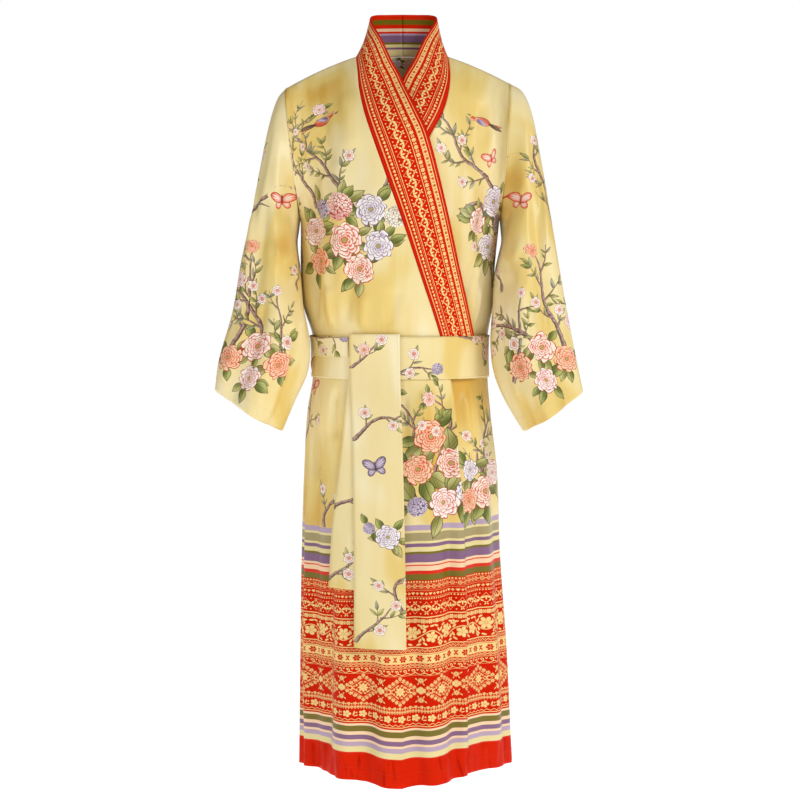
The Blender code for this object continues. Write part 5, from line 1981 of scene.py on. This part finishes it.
def tail_grid(table, lip):
    levels = np.arange(table[0].z, table[-1].z, -GRID_STEP)
    levels = np.append(levels, table[-1].z)
    share = np.arange(TAIL_STEPS + 1) / TAIL_STEPS
    left, right = along(table, "z", "left", levels), along(table, "z", "right", levels)
    x = mix(left[:, None], right[:, None], share[None, :])
    air = along(table, "z", "air", levels) + ridge_height(levels)
    z = np.broadcast_to(levels[:, None], x.shape)
    grid = chest_point(x, z, np.broadcast_to(air[:, None] + CLOTH, x.shape), folded=False)
    if lip:
        over = []
        for air, rise in lip:
            lean = unit(np.array((0.0, LIP_ROOT[0] - air, LIP_ROOT[1])))
            over.append(chest_point(x[0], SASH_TOP + rise, air, False) + CLOTH * lean)
        knots = np.stack(over + [grid[0]])
        grid = np.concatenate((smooth_curve(knots, 3)[:-1], grid))
    down = lengths_along(grid[:, TAIL_STEPS // 2])
    across = (x[0] - x[0].mean())[None, :] * (right - left).mean() / (right[0] - left[0])
    flat = joined(across, (down[-1] - down)[:, None])
    return grid, flat


tails = []
for name, table, lip, motifs, seed in (
    ("belt_tail_short", SHORT_TAIL, (), SHORT_END_PRINT, 8),
    ("belt_tail_long", LONG_TAIL, TAIL_LIP, LONG_END_PRINT, 10),
):
    grid, flat = tail_grid(table, lip)
    end = cloth_sheet(name + "_end", grid, flat, printed(motifs, seed), (name,),
                      origin=(1.5, 4.0), outward=forward)
    declare_sheet(flat)
    tails.append(grid)

# %% [markdown]
# Fine stitches hold the hem, the cuffs, the collar and the edges of the sash. Each stitch is a
# small raised bar that lies on the cloth along a line of the grid. All stitches of one piece are
# one mesh, in a thread of the cloth's own colour.

# %% Stitches
STITCH_PITCH = 0.0034
STITCH_LENGTH = 0.0024
STITCH_WIDTH = 0.0005
STITCH_RISE = 0.00028
# The foot and the top of a stitch: shares of its rise, length and width.
STITCH_LAYERS = ((-0.3, 1.0, 1.0), (1.0, 0.7, 0.6))
HEM_STITCH = 0.022
EDGE_STITCH = 0.003
TAIL_STITCHES = (0.045, 0.955)


def thread(name, colour):
    return new_material(name, {"Base Color": colour, "Roughness": 0.6})


def normals_of(grid):
    return unit(np.cross(np.gradient(grid, axis=1), np.gradient(grid, axis=0)))


def line_on(grid, place, axis, outward):
    """A line of the grid at a fractional row (axis 0) or column (axis 1), and its way out."""
    normals = normals_of(grid)
    normals = normals * np.sign((normals * outward(grid)).sum(axis=-1, keepdims=True))
    low = min(int(place), grid.shape[axis] - 2)
    pick = [np.take(layer, (low, low + 1), axis=axis) for layer in (grid, normals)]
    return [mix(np.take(both, 0, axis=axis), np.take(both, 1, axis=axis), place - low) for both in pick]


def stitch(name, lines, material):
    points, ways, outs = [], [], []
    for line, normals in lines:
        run = lengths_along(line)
        at = np.arange(STITCH_PITCH, run[-1] - STITCH_PITCH, STITCH_PITCH)
        points.append(resample(line, run, at))
        ways.append(unit(resample(np.gradient(line, axis=0), run, at)))
        outs.append(unit(resample(normals, run, at)))
    points, ways, outs = map(np.concatenate, (points, ways, outs))
    sides = np.cross(ways, outs)
    corners = []
    for rise, length, width in STITCH_LAYERS:
        for a, b in ((-1, -1), (1, -1), (1, 1), (-1, 1)):
            corner = points + ways * (a * length * STITCH_LENGTH / 2)
            corner = corner + sides * (b * width * STITCH_WIDTH / 2)
            corners.append(corner + outs * (rise * STITCH_RISE))
    corners = np.stack(corners, axis=1).reshape(-1, 3)
    faces = np.array(((4, 5, 6, 7), (0, 1, 5, 4), (1, 2, 6, 5), (2, 3, 7, 6), (3, 0, 4, 7), (3, 2, 1, 0)))
    faces = (faces[None] + 8 * np.arange(len(points))[:, None, None]).reshape(-1, 4)
    mesh = bpy.data.meshes.new(name)
    mesh.from_pydata(corners.tolist(), [], faces.tolist())
    mesh.materials.append(material)
    made = put_in_scene(name, mesh)
    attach(made, ROBE_BODY)
    print(name, "has", len(points), "stitches")


def row_of(flat, height):
    """The fractional row at which a panel's own side lies at a height above the hem."""
    return float(np.interp(-height, -flat[:, 0, 1], np.arange(len(flat))))


GOLD_THREAD = thread("gold_thread", screen(226, 202, 130))
RED_THREAD = thread("red_thread", screen(206, 44, 14))
hems = [line_on(grid, row_of(flat, HEM_STITCH), 0, away_from_middle)
        for grid, flat in ((back_grid, back_flat), (over_grid, over_flat), (under_grid, under_flat))]
stitch("hem_stitches", hems, RED_THREAD)
edges = []
for grid in collars.values():
    for at in (EDGE_STITCH, COLLAR_WIDTH - EDGE_STITCH):
        column = np.interp(at / COLLAR_WIDTH, COLLAR_COLUMNS, np.arange(len(COLLAR_COLUMNS)))
        edges.append(line_on(grid, column, 1, away_from_middle))
stitch("collar_stitches", edges, RED_THREAD)
cuffs = []
for grid in sleeves:
    middle = grid[:, :-1].mean(axis=1)[:, None]
    cuff_row = len(grid) - 1 - HEM_STITCH / GRID_STEP
    cuffs.append(line_on(grid, cuff_row, 0, lambda points, middle=middle: points - middle))
stitch("cuff_stitches", cuffs, GOLD_THREAD)
near_edge = EDGE_STITCH / (SASH_TOP - SASH_BOTTOM) * SASH_ROWS
strips = [line_on(sash_grid, row, 0, away_from_middle) for row in (near_edge, SASH_ROWS - near_edge)]
strips += [line_on(grid, TAIL_STEPS * share, 1, forward) for grid in tails for share in TAIL_STITCHES]
stitch("sash_stitches", strips, GOLD_THREAD)

# %% [markdown]
# The studio is as plain as can be: a pale floor far below the hem, white card all round, one
# broad soft lamp from the front right and a weaker one from the left. The card is brighter to
# the camera than to the cloth, so that the background stays white while the folds keep their
# shade. The picture is shown with plain screen colours, because a print should stay vivid.

# %% Floor, background and lamps
FLOOR_Z = -1.43
FLOOR_GLOW = 0.84
CARD_SEEN = 1.0
CARD_LIGHT = 0.235
KEY_WATTS = 71
FILL_WATTS = 18


def pale_floor():
    paint = new_material("pale_floor", {
        "Base Color": (0.9, 0.9, 0.9, 1), "Roughness": 0.8,
        "Emission Color": (1, 1, 1, 1), "Emission Strength": FLOOR_GLOW})
    mesh = bpy.data.meshes.new("studio_floor")
    corners = [(-12, -6, FLOOR_Z), (12, -6, FLOOR_Z), (12, 16, FLOOR_Z), (-12, 16, FLOOR_Z)]
    mesh.from_pydata(corners, [], [(0, 1, 2, 3)])
    mesh.materials.append(paint)
    put_in_scene("studio_floor", mesh)


def white_card():
    world = bpy.data.worlds.new("white_card")
    world.use_nodes = True
    tree = world.node_tree
    ray = tree.nodes.new("ShaderNodeLightPath")
    strength = tree.nodes.new("ShaderNodeMapRange")
    strength.inputs["To Min"].default_value = CARD_LIGHT
    strength.inputs["To Max"].default_value = CARD_SEEN
    tree.links.new(ray.outputs["Is Camera Ray"], strength.inputs["Value"])
    background = tree.nodes["Background"]
    background.inputs["Color"].default_value = (1, 1, 1, 1)
    tree.links.new(strength.outputs[0], background.inputs["Strength"])
    bpy.context.scene.world = world


def soft_lamp(name, place, aim, size, watts):
    light = bpy.data.lights.new(name, "AREA")
    light.shape = "RECTANGLE"
    light.size, light.size_y = size
    light.energy = watts
    lamp = put_in_scene(name, light)
    lamp.location = place
    way = np.array(aim, float) - np.array(place, float)
    from_above = math.atan2(np.hypot(way[0], way[1]), -way[2])
    lamp.rotation_euler = (from_above, 0, math.atan2(way[1], way[0]) - math.pi / 2)


pale_floor()
white_card()
soft_lamp("key_lamp", (2.3, -2.5, 1.5), (0, 0, -0.55), (1.1, 1.6), KEY_WATTS)
soft_lamp("fill_lamp", (-2.6, -2.4, 0.3), (0, 0, -0.6), (1.6, 2.2), FILL_WATTS)
bpy.context.scene.view_settings.view_transform = "Standard"
print("key lamp", KEY_WATTS, "W, fill lamp", FILL_WATTS, "W")
